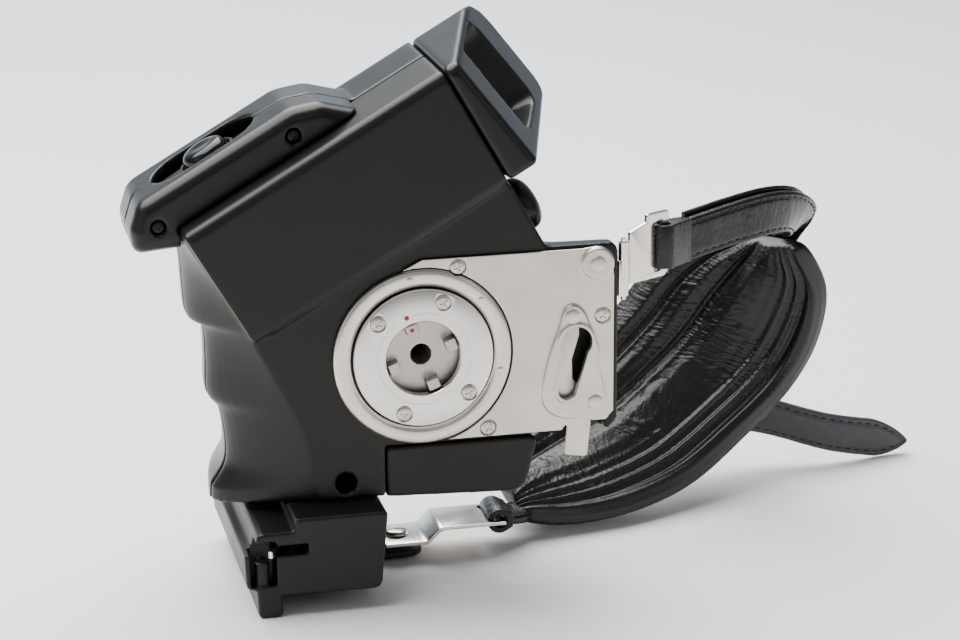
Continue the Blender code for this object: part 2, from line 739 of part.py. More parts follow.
def gear_outline(teeth, cut_back=0.75):
    """A toothed outline; cut_back trims the tips, so that meshing wheels never touch."""
    pitch = teeth * GEAR_MODULE / 2
    root = pitch - GEAR_MODULE * 1.1
    tip = pitch - GEAR_MODULE * 0.3 * cut_back
    points = []
    for tooth in range(teeth):
        for share, radius in ((0.0, root), (0.25, root), (0.38, tip), (0.87, tip)):
            angle = 2 * math.pi * (tooth + share) / teeth
            points.append((radius * math.cos(angle), radius * math.sin(angle)))
    return points


def gear(name, shaft, layers, bore):
    """Toothed layers on one hub; each layer is (teeth, near depth, far depth)."""
    x, z = shaft
    teeth, near, far = layers[0]
    wheel = add_part(name, slab([gear_outline(teeth), circle(bore, steps=16)], -far, -near), "brass",
                     facing_plate(x, z))
    for teeth, near, far in layers[1:]:
        join(wheel, slab([gear_outline(teeth), circle(bore, steps=16)], -far, -near), facing_plate(x, z))
    return wheel


def drive_parts():
    claw = add_part("drive_claw", slab([circle(CLAW_RADIUS, steps=32), circle(SPINDLE_BORE, steps=16)],
                                       -CLAW_FLOOR - 1.5, -CLAW_FLOOR), "bright_metal", facing_plate())
    spindle = [circle(SPINDLE_RADIUS, steps=16), circle(SPINDLE_BORE, steps=16)]
    join(claw, slab(spindle, -12.4, -CLAW_FLOOR - 0.5), facing_plate())
    for index in range(4):
        turn = Matrix.Rotation(math.radians(20 + 90 * index), 4, "Z")
        join(claw, box((2.7, 3.0, 3.3), (7.4, 0.0, -CLAW_FLOOR + 1.2)), facing_plate() @ turn)
    smooth(claw)
    gear("output_gear", (0.0, 0.0), [(OUTPUT_TEETH, 4.6, 7.2)], SPINDLE_RADIUS + GAP)
    gear("second_gear", SECOND_SHAFT, [(WHEEL_TEETH, 7.8, 9.8), (SECOND_PINION_TEETH, 4.6, 8.2)],
         AXLE_RADIUS + GAP)
    gear("first_gear", FIRST_SHAFT, [(WHEEL_TEETH, 10.4, 12.2), (PINION_TEETH, 7.8, 10.8)],
         AXLE_RADIUS + GAP)
    pinion = gear("motor_pinion", MOTOR_SHAFT, [(PINION_TEETH, 10.4, 12.2)], AXLE_RADIUS - 0.2)
    join(pinion, cylinder(AXLE_RADIUS, -14.4, -9.6, steps=12), facing_plate(*MOTOR_SHAFT))
    bracket = rounded([(-38.0, -9.0, 3.0), (-38.0, -27.0, 3.0), (-21.0, -27.0, 3.0), (-10.0, -8.0, 3.0),
                       (-10.0, 6.0, 3.0), (-22.0, 6.0, 3.0)], 3)
    frame = add_part("gear_bracket", slab([bracket, circle(1.6, MOTOR_SHAFT, 12)], -14.4, -13.2), "steel",
                     facing_plate())
    for shaft in (SECOND_SHAFT, FIRST_SHAFT):
        join(frame, cylinder(AXLE_RADIUS, -14.0, -3.5, shaft, 12), facing_plate())
    motor = [(0.0, -14.8), (3.0, -14.8), (3.0, -15.6), (9.2, -15.6), (9.4, -16.0), (9.4, -38.0), (0.0, -38.0)]
    x, z = MOTOR_SHAFT
    can = turned("motor_can", motor, "steel", facing_plate(x, z), steps=28)
    smooth(can)
    board = add_part("circuit_board", box((26.0, 1.6, 34.0), (27.5, 6.7, -1.5)), "board_green",
                     Matrix.Identity(4))
    join(board, box((9.0, 2.0, 9.0), (24.0, 8.3, 4.0)), Matrix.Identity(4))
    join(board, box((5.0, 1.6, 8.0), (34.0, 8.1, -8.0)), Matrix.Identity(4))


# ---------------------------------------------------------------- battery magazine

def end_plane_cutter():
    """Everything beyond the cap's slanted end face."""
    corner = on_tube(79.5, 0.0, TUBE_FRONT)
    out = (ALONG - ACROSS * -0.144 - DEPTH * 0.34).normalized()
    side = DEPTH - out * DEPTH.dot(out)
    return box((300, 300, 100), (0, 0, 50)), frame_at(corner, side, out.cross(side))


def magazine_parts():
    section = rounded(TUBE_SECTION, 3)
    cap = add_part("magazine_cap", slab([section], TUBE_LENGTH + GAP, 96.0), "black_plastic", down_tube())
    cut(cap, *end_plane_cutter())
    bevel(cap, 1.2, 2)
    join(cap, slab([bay_section(GAP)], 62.4, 73.0), down_tube())
    cut(cap, box((19.0, 25.0, 30.0), (18.0, 17.5, 92.0)), down_tube())
    smooth(cap)

    key = add_part("cap_latch", box((7.0, 19.0, 2.0), (18.0, 16.0, 78.6)), "dark_plastic", down_tube())
    bevel(key, 0.5)
    wire("latch_spring", coil(1.0, 0.0, 3.0, 4.0, 6), 0.2, "steel",
         frame_at(on_tube(78.6, 26.0, 18.0), ALONG, DEPTH))

    low = CELL_START - 2.5
    high = CELL_START + CELL_LENGTH + 1.9
    plate = bay_section(0.5)
    tray = add_part("magazine_tray", slab([plate], low, low + 1.5), "dark_plastic", down_tube())
    join(tray, slab([plate], high - 1.5, high), down_tube())
    for side in (-0.5, 0.5):
        join(tray, cylinder(2.4, low + 0.5, high - 0.5, (20.0 + side * CELL_PITCH, TUBE_HEIGHT / 2), 12),
             down_tube())

    profile = [(0.0, CELL_LENGTH), (2.6, CELL_LENGTH), (2.6, CELL_LENGTH - 1.2),
               (CELL_RADIUS, CELL_LENGTH - 1.4), (CELL_RADIUS, 0.4), (CELL_RADIUS - 0.6, 0.0), (0.0, 0.0)]
    number = 0
    for column in (-1, 0, 1):
        for row in (-0.5, 0.5):
            number += 1
            across = TUBE_HEIGHT / 2 + row * CELL_PITCH
            smooth(add_part(f"battery_cell_{number}", revolved(profile, 20), "cell_wrap",
                            down_tube(CELL_START, across, 20.0 + column * CELL_PITCH)))

    contacts = add_part("bay_contacts", box((30.0, 2.0, 0.5), (20.0, TUBE_HEIGHT / 2, 2.15)), "brass",
                        down_tube())
    for side in (-1, 1):
        join(contacts, box((5.0, 9.0, 1.2), (20.0 + side * 12.0, TUBE_HEIGHT / 2, 2.75)), down_tube())


# ---------------------------------------------------------------- lower pieces

def gearbox_cover():
    outline = rounded([(-9.1, -35.9, 1.0), (25.6, -37.4, 4.0), (29.4, -23.0, 2.0), (-9.1, -23.0, 1.0)], 3)
    cover = add_part("lower_cover", slab([outline], -24.0, -2.2), "black_plastic", facing_plate())
    bevel(cover, 0.6, 1)
    hollow = [(-7.0, -33.8), (24.6, -35.0), (27.0, -25.0), (-7.0, -25.0)]
    cut(cover, slab([hollow], -25.0, -4.4), facing_plate())
    smooth(cover)


FOOT_OUTLINE = [
    (-33.6, -38.7, 0.4), (-42.4, -38.7, 1.5), (-43.6, -43.4, 0.5), (-45.8, -44.0, 0.8), (-45.4, -52.4, 1.0),
    (-42.9, -53.4, 0.5), (-42.6, -60.4, 1.0), (-36.6, -60.4, 1.0), (-36.9, -54.9, 0.0), (-12.4, -55.4, 2.0),
    (-10.6, -35.6, 0.8), (-33.1, -35.6, 0.4),
]


def foot_parts():
    foot = add_part("foot_housing", slab([rounded(FOOT_OUTLINE, 2)], -FOOT_BACK, -FOOT_FRONT),
                    "black_plastic", facing_plate())
    bevel(foot, 0.5, 1, 50)
    # release finger's pocket, its slot and the chamber behind them, which opens at the back
    cut(foot, box((6.4, 5.0, 11.4), (-41.2, FOOT_FRONT + 2.2, -46.6)), Matrix.Identity(4))
    cut(foot, box((8.4, 6.0, 2.6), (-34.4, -6.0, FINGER_LEVEL)), Matrix.Identity(4))
    cut(foot, box((13.4, 12.0, 2.6), (-31.9, 0.8, FINGER_LEVEL)), Matrix.Identity(4))
    cut(foot, cylinder(2.3, -46.8, -43.0, FINGER_PIVOT, 14), Matrix.Identity(4))
    cut(foot, box((19.6, 46.6, 14.0), (-22.8, 26.0, -45.0)), Matrix.Identity(4))
    cut(foot, body_mesh([(y, 0) for y in (BODY_FRONT - 0.4,) + BODY_DEPTHS], -0.4), Matrix.Identity(4))
    tongue = rounded([(-16.0, 20.0, 0.5), (4.0, 20.0, 4.5), (4.0, 34.0, 4.5), (-16.0, 34.0, 0.5)], 3)
    join(foot, slab([tongue, circle(0.9, (-2.0, 27.0), 12)], -59.4, -57.6), Matrix.Identity(4))
    join(foot, box((6.0, 14.0, 5.0), (-14.0, 27.0, -56.6)), Matrix.Identity(4))
    smooth(foot)
    join(foot, cylinder(1.9, -53.0, -46.4, (-41.4, -5.6), 14), Matrix.Identity(4))
    cap = add_part("foot_cap", box((19.0, 1.5, 13.4), (-22.8, 48.2, -45.0)), "black_plastic",
                   Matrix.Identity(4))
    bevel(cap, 0.3)

    x, y = FINGER_PIVOT
    pivot = frame_at((x, y, FINGER_LEVEL), (1, 0, 0), (0, 1, 0))
    finger = add_part("release_finger", box((1.0, 12.6, 1.7), (0.0, -5.6, 0.0)), "bright_metal",
                      pivot)
    lean = Matrix.Rotation(math.radians(-35), 4, "Z")
    finger.data.transform(lean)
    join(finger, cylinder(1.9, -0.85, 0.85, steps=14), pivot)
    join(finger, box((4.6, 1.0, 1.7), (3.0, 0.0, 0.0)), pivot)
    cut(finger, cylinder(0.9, -3.0, 3.0, steps=12), pivot)
    join(foot, cylinder(0.6, -53.0, -41.0, (x, y), 12), Matrix.Identity(4))
    wire("finger_spring", coil(1.5, -46.4, -44.7, 3.0, 8), 0.2, "steel",
         frame_at((x, y, 0.0), (1, 0, 0), (0, 1, 0)))
    along_y = frame_at((-27.6, 0.0, FINGER_LEVEL), (1, 0, 0), (0, 0, 1))
    turned("solenoid", [(1.6, -14.0), (4.6, -14.0), (4.6, -40.0), (1.6, -40.0)], "steel", along_y,
           closed=True, steps=20)
    plunger = add_part("solenoid_plunger", cylinder(1.1, -36.0, -1.6, steps=14), "steel", along_y)
    smooth(plunger)


def rear_dome():
    out = Vector((0.874, 0.0, 0.487))
    place = frame_at((27.0, 13.0, 32.7), DEPTH, out.cross(DEPTH))
    profile = [(0.0, 5.2), (2.6, 4.9), (4.8, 3.8), (6.3, 2.2), (6.9, 0.3), (6.9, 0.0), (0.0, 0.0)]
    turned("rear_dome", profile, "dark_plastic", place, steps=24)


# ---------------------------------------------------------------- strap and its brackets

def bracket_frame(distance, z):
    """A frame out along the top bracket: local x runs along it and local y up."""
    out = Vector((math.cos(BRACKET_TURN), math.sin(BRACKET_TURN), 0.0))
    origin = Vector((50.6, 3.0, z)) + out * distance
    return frame_at(origin, out, (0, 0, 1))


def top_bracket():
    lug = add_part("strap_lug", box((1.0, 7.0, 9.0), (49.6, 5.2, 15.4)), "plate_metal",
                   Matrix.Identity(4))
    join(lug, cylinder(1.3, 11.0, 24.4, (50.6, 3.0), 14), Matrix.Identity(4))
    join(lug, cylinder(0.7, 10.0, 25.4, (50.6, 3.0), 12), Matrix.Identity(4))
    smooth(lug)
    outline = rounded([(1.8, 13.4, 0.6), (13.6, 13.4, 0.8), (15.0, 14.8, 0.8), (15.0, 30.0, 0.8),
                       (7.4, 30.0, 0.8), (7.4, 28.0, 0.4), (1.8, 26.4, 0.6)], 2)
    slot = rectangle(2.4, 12.4, 0.6, (11.2, 21.2), 2)
    loop = add_part("strap_loop", slab([outline, slot], -0.5, 0.5), "bright_metal", bracket_frame(0.0, 0.0))
    smooth(loop)


def strap_eye(name, place, length):
    """A strap's end folded round a bracket's bar: a ring as wide as the strap, drawn out to a length."""
    outer = arc((0.0, 0.0), 3.2, 70, 290, 10) + [(length, -1.7), (length, 1.7)]
    hole = circle(1.75, steps=12)
    eye = add_part(name, slab([outer, hole], -STRAP_WIDTH / 2, STRAP_WIDTH / 2), "leather", place)
    smooth(eye)
    return eye


# Pad: its outer and inner long edges, from the top bracket's end to the bottom one's.
PAD_OUTER_EDGE = [(110, 37, 10), (118, 43, -4), (118, 49, -20), (111.3, 50.5, -33.2), (97.5, 46.5, -44.3),
                  (80.5, 38.5, -53.2), (62, 30.5, -56.4), (44.5, 27.5, -57), (31, 26, -54.5)]
PAD_INNER_EDGE = [(97, 60, 8), (88, 65, 6), (77, 68, -1), (68, 69, -12), (58, 69, -23), (48, 68, -32),
                  (38, 65, -38), (30, 56, -43), (28, 42, -48)]
PAD_STATIONS = 12


def pad_section(where):
    """The pad's cross-section at a place along it: a flat oval between its two edges."""
    step = 0.05
    last = len(PAD_OUTER_EDGE) - 1
    outer = path_point(PAD_OUTER_EDGE, where)
    inner = path_point(PAD_INNER_EDGE, where)
    ahead = min(where + step, last)
    behind = max(where - step, 0.0)
    travel = (path_point(PAD_OUTER_EDGE, ahead) + path_point(PAD_INNER_EDGE, ahead)
              - path_point(PAD_OUTER_EDGE, behind) - path_point(PAD_INNER_EDGE, behind)).normalized()
    width = outer - inner
    away = width.cross(travel).normalized()
    return (outer + inner) / 2, width, away


def pad_parts():
    rings = []
    last = len(PAD_OUTER_EDGE) - 1
    for station in range(PAD_STATIONS + 1):
        share = station / PAD_STATIONS
        centre, width, away = pad_section(share * last)
        end_round = math.sqrt(max(0.0, 1 - abs(2 * share - 1) ** 8))
        half = width * (0.40 + 0.10 * end_round)
        thick = away * (PAD_THICK / 2) * (0.45 + 0.55 * end_round)
        ring = []
        for u, v in ((-1.0, 0.0), (-0.93, -0.75), (-0.5, -1.0), (0.0, -1.0), (0.5, -1.0), (0.93, -0.75),
                     (1.0, 0.0), (0.93, 0.75), (0.5, 1.0), (0.0, 1.0), (-0.5, 1.0), (-0.93, 0.75)):
            ring.append(centre + half * u + thick * v)
        rings.append(ring)
    smooth(add_part("strap_pad", loft(rings), "leather", Matrix.Identity(4)), 60)


def band(name, stations, thickness, taper_end=False):
    """A flat strap through stations of (centre, width direction), as wide as STRAP_WIDTH."""
    centres = [centre for centre, _ in stations]
    widths = [direction for _, direction in stations]
    rings = []
    last = len(stations) - 1
    count = last * 2
    for index in range(count + 1):
        where = last * index / count
        centre = path_point(centres, where)
        across = path_point(widths, where).normalized()
        travel = (path_point(centres, min(where + 0.1, last)) - path_point(centres, max(where - 0.1, 0.0)))
        away = across.cross(travel).normalized()
        half = across * (STRAP_WIDTH / 2)
        if taper_end and index >= count - 1:
            half = half * (0.25 if index == count else 0.8)
        thick = away * (thickness / 2)
        rings.append([centre - half - thick, centre + half - thick, centre + half + thick,
                      centre - half + thick])
    smooth(add_part(name, loft(rings), "leather", Matrix.Identity(4)), 60)


def strap_parts():
    top_bracket()
    out = Vector((math.cos(BRACKET_TURN), math.sin(BRACKET_TURN), 0.0))
    bar = bracket_frame(13.7, 21.2).translation / MM
    strap_eye("strap_top_eye", frame_at(bar, out, Vector((0.0, 0.0, 1.0)).cross(out)), 8.0)
    outside = []
    for where in (0.6, 1.8, 3.0, 4.2):
        centre, width, away = pad_section(where)
        outside.append((centre + away * (PAD_THICK / 2 + 2.6), width.normalized()))
    up = Vector((0.0, 0.0, 1.0))
    band("hand_strap", [(Vector((70.1, 13.4, 21.0)), up), (Vector((83.5, 20.0, 22.2)), up),
                        (Vector((95.5, 26.6, 22.4)), up),
                        (Vector((104.5, 34.0, 20.4)), up + Vector((0.3, -0.1, 0.0))),
                        (Vector((110.6, 45.0, 15.0)), up + Vector((0.9, -0.3, 0.0)))] + outside, 2.6)
    centre, _, away = pad_section(4.2)
    root = centre + away * (PAD_THICK / 2 + 5.3)
    lean = Vector((-0.08, 0.0, 1.0))
    band("strap_tail", [(root, Vector((0.28, 0.44, 0.81))), (Vector((104.0, 66.0, -44.5)), lean),
                        (Vector((128.0, 63.0, -51.5)), lean), (Vector((151.0, 66.0, -56.5)), lean)],
         2.0, taper_end=True)
    pad_parts()
    strap_eye("strap_lower_eye", frame_at((24.0, 27.0, -52.5), (1, 0, 0), (0, 0, 1)), 3.4)
    bottom_bracket()


def bottom_bracket():
    level = frame_at((0.0, 0.0, 0.0), (1, 0, 0), (0, 1, 0))
    washer = [circle(4.2, (-2.0, 27.0), 20), circle(0.9, (-2.0, 27.0), 12)]
    add_part("bracket_washer", slab(washer, -57.3, -56.6), "bright_metal", level)
    side = frame_at((0.0, 27.0, 0.0), (1, 0, 0), (0, 0, 1))
    strip = add_part("bottom_bracket", slab([sheet_outline()], -7.2, 7.2), "bright_metal", side)
    cut(strip, box((2.6, 11.8, 11.4), (21.6, 27.0, -52.4)), Matrix.Identity(4))
    cut(strip, cylinder(0.9, -60.0, -50.0, (-2.0, 27.0), 12), Matrix.Identity(4))
    screw = [(0.0, -54.0), (2.4, -54.0), (3.0, -54.8), (3.0, -55.0), (0.6, -55.0), (0.6, -59.9), (0.0, -59.9)]
    smooth(add_part("bracket_screw", revolved([(r, h) for r, h in screw], 14), "bright_metal",
                    frame_at((-2.0, 27.0, 0.0), (1, 0, 0), (0, 1, 0))))


def sheet_outline():
    """The bottom bracket's bent strip, seen from its edge."""
    thick = 0.9
    upper = [(-6.0, -55.4), (4.6, -55.4), (8.0, -52.0), (25.2, -52.0)]
    lower = [(25.2, -52.0 - thick), (8.5, -52.0 - thick), (5.1, -55.4 - thick), (-6.0, -55.4 - thick)]
    return list(reversed(upper + lower))


main_casing()
pod_parts()
control_parts()
plate_parts()
lock_parts()
drive_parts()
magazine_parts()
gearbox_cover()
foot_parts()
rear_dome()
strap_parts()
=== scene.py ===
"""Looks of the motor winder grip: its visible pieces, materials, studio floor, light and camera.

The pieces are drawn in millimetres in the frame of the camera plate (origin at the coupling's
centre, +X right along the plate, +Z up, the plate facing -Y), then moved to the part's frame in
metres.
"""

import json
import math

import bmesh
import bpy
from mathutils import Matrix, Vector, noise


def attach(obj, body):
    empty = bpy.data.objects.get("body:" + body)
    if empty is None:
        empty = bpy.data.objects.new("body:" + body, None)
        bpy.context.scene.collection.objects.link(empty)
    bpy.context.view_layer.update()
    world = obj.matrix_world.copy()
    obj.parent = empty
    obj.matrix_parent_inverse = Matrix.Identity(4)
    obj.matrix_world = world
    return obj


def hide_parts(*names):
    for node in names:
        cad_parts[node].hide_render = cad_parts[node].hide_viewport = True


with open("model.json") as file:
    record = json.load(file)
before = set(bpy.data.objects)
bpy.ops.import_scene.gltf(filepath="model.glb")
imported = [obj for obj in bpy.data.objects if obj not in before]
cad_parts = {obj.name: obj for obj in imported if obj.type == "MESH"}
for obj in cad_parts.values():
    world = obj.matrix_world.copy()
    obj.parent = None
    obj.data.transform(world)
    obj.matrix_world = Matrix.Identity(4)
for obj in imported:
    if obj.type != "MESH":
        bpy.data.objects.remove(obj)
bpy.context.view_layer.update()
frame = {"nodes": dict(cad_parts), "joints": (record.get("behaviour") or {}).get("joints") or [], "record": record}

MM = 0.001
TO_MM = 1000.0
ORIGIN = Vector(next(joint["pos_m"] for joint in frame["joints"]
                     if joint["name"] == "coupling_spin"))
TO_WORLD = Matrix.Translation(ORIGIN) @ Matrix.Scale(MM, 4)
NODES = frame["nodes"]
HOME = "winder_body"

GAP = 0.3
BODY_FRONT = 1.1
LEDGE_Y = 5.0
SEAM_Y = 18.0
BODY_BACK = 47.0
WALL = 2.0
TUBE_TILT = math.radians(30)
TUBE_CORNER = (-40.9, 6.9)
TUBE_LENGTH = 71.3
TUBE_HEIGHT = 31.7
TUBE_FRONT = -3.0
TUBE_BACK = 43.0
TUBE_WALL = 1.4
POD_FRONT = 5.0
POD_BACK = 36.0
POD_TOP = 41.4
BUTTON_ALONG = 14.5
BUTTON_Y = 19.0
RECESS_FLOOR = 36.9
STRAP_WIDTH = 11.0
STRAP_THICK = 2.6
EDGE_GROOVE = 1.3
PAD_THICK = 9.0
BRACKET_TURN = math.radians(28)
HINGE_AXIS = (50.6, 3.0)
EVEN = (1.0, 1.0, 1.0)

ALONG = Vector((math.cos(TUBE_TILT), 0.0, math.sin(TUBE_TILT)))
ACROSS = Vector((-math.sin(TUBE_TILT), 0.0, math.cos(TUBE_TILT)))
DEPTH = Vector((0.0, 1.0, 0.0))
UP = Vector((0.0, 0.0, 1.0))
BRACKET_OUT = Vector((math.cos(BRACKET_TURN), math.sin(BRACKET_TURN), 0.0))


# ---------------------------------------------------------------- placing

def frame_at(origin, u_axis, v_axis):
    """A place whose local x and y run along u and v."""
    u = Vector(u_axis).normalized()
    v = Vector(v_axis).normalized()
    rows = Matrix((u, v, u.cross(v))).transposed().to_4x4()
    return Matrix.Translation(Vector(origin)) @ rows


def spin(degrees):
    return Matrix.Rotation(math.radians(degrees), 4, "Z")


def on_tube(along, across, y):
    return Vector((TUBE_CORNER[0], y, TUBE_CORNER[1])) + ALONG * along + ACROSS * across


def facing_plate(x=0.0, z=0.0, y=0.0):
    """Local x, y run along +X and +Z; local z points at the camera side, -Y."""
    return frame_at((x, y, z), (1, 0, 0), (0, 0, 1))


def facing_tube(along=0.0, across=0.0, y=0.0):
    return frame_at(on_tube(along, across, y), ALONG, ACROSS)


def down_tube():
    """Local x runs back, local y across the tube and local z along it."""
    return frame_at(on_tube(0.0, 0.0, 0.0), DEPTH, ACROSS)


def above_pod(along=0.0, y=BUTTON_Y):
    """Local x runs along the tube, local y back; local z points out of the pod's top."""
    return frame_at(on_tube(along, 0.0, y), ALONG, DEPTH)


def bracket_frame(distance, z):
    """Local x runs out along the top bracket, local y up."""
    return frame_at(Vector((*HINGE_AXIS, z)) + BRACKET_OUT * distance, BRACKET_OUT, UP)


# ---------------------------------------------------------------- outlines

def arc(centre, radius, start, end, steps):
    points = []
    for index in range(steps + 1):
        angle = math.radians(start + (end - start) * index / steps)
        points.append((centre[0] + radius * math.cos(angle), centre[1] + radius * math.sin(angle)))
    return points


def circle(radius, centre=(0.0, 0.0), steps=48):
    return arc(centre, radius, 0, 360, steps)[:-1]


def rounded(corners, steps=8):
    """Corner list of (x, y, radius) turned into an outline with round corners."""
    outline = []
    count = len(corners)
    for index, (x, y, radius) in enumerate(corners):
        here = Vector((x, y))
        if radius == 0:
            outline.append((x, y))
            continue
        before = (Vector(corners[index - 1][:2]) - here).normalized()
        after = (Vector(corners[(index + 1) % count][:2]) - here).normalized()
        half = before.angle(after) / 2
        middle = here + (before + after).normalized() * (radius / math.sin(half))
        spoke = here + before * (radius / math.tan(half)) - middle
        turn = (math.pi - 2 * half) * math.copysign(1.0, -before.cross(after))
        for step in range(steps + 1):
            angle = math.atan2(spoke.y, spoke.x) + turn * step / steps
            outline.append((middle.x + radius * math.cos(angle),
                            middle.y + radius * math.sin(angle)))
    return outline


def rectangle(width, height, radius=0.0, centre=(0.0, 0.0)):
    left, right = centre[0] - width / 2, centre[0] + width / 2
    low, high = centre[1] - height / 2, centre[1] + height / 2
    return rounded([(left, low, radius), (right, low, radius), (right, high, radius),
                    (left, high, radius)], 6)


def inset(outline, distance):
    """The outline moved inward by a distance; it runs anticlockwise."""
    moved = []
    count = len(outline)
    for index in range(count):
        here = Vector(outline[index])
        before = (here - Vector(outline[index - 1])).normalized()
        after = (Vector(outline[(index + 1) % count]) - here).normalized()
        normal = Vector((-before.y, before.x)) + Vector((-after.y, after.x))
        normal.normalize()
        stretch = max(0.5, normal.dot(Vector((-before.y, before.x))))
        moved.append(tuple(here + normal * (distance / stretch)))
    return moved


def path_point(points, where, closed=False):
    """Catmull-Rom point on a path; where runs from 0 to the last index."""
    last = len(points) - 1
    index = int(where) if closed else min(int(where), last - 1)
    part = where - index
    near = [index + shift for shift in (-1, 0, 1, 2)]
    near = [place % (last + 1) if closed else min(max(place, 0), last) for place in near]
    before, first, second, after = (Vector(points[place]) for place in near)
    return 0.5 * (2 * first + (second - before) * part
                  + (2 * before - 5 * first + 4 * second - after) * part ** 2
                  + (3 * first - before - 3 * second + after) * part ** 3)


def spline(points, per_segment=6, closed=True):
    """A smooth outline or open path through points."""
    segments = len(points) if closed else len(points) - 1
    out = [tuple(path_point(points, index + step / per_segment, closed))
           for index in range(segments) for step in range(per_segment)]
    return out if closed else out + [tuple(points[-1])]


def quarter(steps, first=0):
    """Sine and cosine of even steps of a quarter turn."""
    turns = [math.pi / 2 * index / steps for index in range(first, steps + 1)]
    return [(math.sin(turn), math.cos(turn)) for turn in turns]


# ---------------------------------------------------------------- meshes (millimetres)

def finished(work):
    mesh = bpy.data.meshes.new("mesh")
    work.to_mesh(mesh)
    work.free()
    return mesh


def holder_of(data):
    holder = bpy.data.objects.new("holder", data)
    bpy.context.scene.collection.objects.link(holder)
    return holder


def evaluated(holder):
    """The mesh an object shows, with its modifiers; the object goes away."""
    bpy.context.view_layer.update()
    graph = bpy.context.evaluated_depsgraph_get()
    mesh = bpy.data.meshes.new_from_object(holder.evaluated_get(graph))
    bpy.data.objects.remove(holder, do_unlink=True)
    return mesh


def slab(loops, back, front, edge=0.0):
    """A sheet between two depths along local z, with holes and softly rounded edges."""
    curve = bpy.data.curves.new("outline", "CURVE")
    curve.dimensions = "2D"
    curve.fill_mode = "BOTH"
    curve.extrude = (front - back) / 2 - edge
    curve.bevel_depth = edge
    curve.bevel_resolution = 2
    curve.offset = -edge
    for loop in loops:
        run = curve.splines.new("POLY")
        run.points.add(len(loop) - 1)
        for point, (x, y) in zip(run.points, loop):
            point.co = (x, y, 0.0, 1.0)
        run.use_cyclic_u = True
    mesh = evaluated(holder_of(curve))
    work = bmesh.new()
    work.from_mesh(mesh)
    bmesh.ops.remove_doubles(work, verts=work.verts, dist=0.0005)
    bmesh.ops.recalc_face_normals(work, faces=work.faces)
    made = finished(work)
    made.transform(Matrix.Translation((0.0, 0.0, (front + back) / 2)))
    return made


def box(size, centre, edge=0.0):
    work = bmesh.new()
    bmesh.ops.create_cube(work, size=1.0,
                          matrix=Matrix.Translation(centre) @ Matrix.Diagonal((*size, 1.0)))
    if edge:
        bmesh.ops.bevel(work, geom=work.edges, offset=edge, segments=3, profile=0.5, affect="EDGES")
    return finished(work)


def cylinder(radius, low, high, centre=(0.0, 0.0), steps=48):
    work = bmesh.new()
    bmesh.ops.create_cone(work, cap_ends=True, segments=steps, radius1=radius, radius2=radius,
                          depth=high - low,
                          matrix=Matrix.Translation((centre[0], centre[1], (low + high) / 2)))
    return finished(work)


def loft(rings):
    """A closed body through rings of points with the same count."""
    work = bmesh.new()
    rows = [[work.verts.new(Vector(point)) for point in ring] for ring in rings]
    count = len(rows[0])
    for low, high in zip(rows, rows[1:]):
        for index in range(count):
            follow = (index + 1) % count
            work.faces.new((low[index], low[follow], high[follow], high[index]))
    work.faces.new(reversed(rows[0]))
    work.faces.new(rows[-1])
    bmesh.ops.recalc_face_normals(work, faces=work.faces)
    return finished(work)


def turned(profile, steps=64, closed=False):
    """A lathe form about local z from (radius, height) points down its outer side."""
    work = bmesh.new()
    rows = []
    for radius, height in profile:
        if radius < 1e-6:
            rows.append([work.verts.new((0.0, 0.0, height))])
        else:
            rows.append([work.verts.new((radius * math.cos(2 * math.pi * index / steps),
                                         radius * math.sin(2 * math.pi * index / steps), height))
                         for index in range(steps)])
    pairs = list(zip(rows, rows[1:]))
    if closed:
        pairs.append((rows[-1], rows[0]))
    for first, second in pairs:
        for index in range(steps):
            follow = (index + 1) % steps
            if len(first) == 1:
                work.faces.new((first[0], second[index], second[follow]))
            elif len(second) == 1:
                work.faces.new((first[index], second[0], first[follow]))
            else:
                work.faces.new((first[index], second[index], second[follow], first[follow]))
    bmesh.ops.recalc_face_normals(work, faces=work.faces)
    return finished(work)


def placed(mesh, place):
    mesh.transform(place)
    return mesh


def merged(*meshes):
    """Several meshes as one, without a Boolean."""
    work = bmesh.new()
    for mesh in meshes:
        work.from_mesh(mesh)
    return finished(work)


def plus(mesh, place=Matrix()):
    return "UNION", placed(mesh, place)


def minus(mesh, place=Matrix()):
    return "DIFFERENCE", placed(mesh, place)


def carved(base, *steps):
    """A mesh with Boolean steps applied, each from plus() or minus()."""
    holder = holder_of(base)
    others = [holder_of(mesh) for _, mesh in steps]
    for (operation, _), other in zip(steps, others):
        step = holder.modifiers.new("step", "BOOLEAN")
        step.operation = operation
        step.object = other
        step.solver = "MANIFOLD"
    mesh = evaluated(holder)
    for other in others:
        bpy.data.objects.remove(other, do_unlink=True)
    return mesh


def softened(mesh, voxel, rounds, tilt=TUBE_TILT):
    """The form with every edge rounded, as moulded; faces square to the tilt stay flat."""
    level = Matrix.Rotation(tilt, 4, "Y")
    mesh.transform(level)
    holder = holder_of(mesh)
    remesh = holder.modifiers.new("remesh", "REMESH")
    remesh.mode = "VOXEL"
    remesh.voxel_size = voxel
    relax = holder.modifiers.new("relax", "SMOOTH")
    relax.factor = 0.5
    relax.iterations = rounds
    made = evaluated(holder)
    made.transform(level.inverted())
    return made


def node_mesh(name):
    """A copy of a CAD node's mesh, in the plate frame and millimetres, welded shut."""
    work = bmesh.new()
    work.from_mesh(NODES[name].data)
    bmesh.ops.remove_doubles(work, verts=work.verts, dist=1e-6)
    mesh = finished(work)
    mesh.transform(TO_WORLD.inverted())
    return mesh


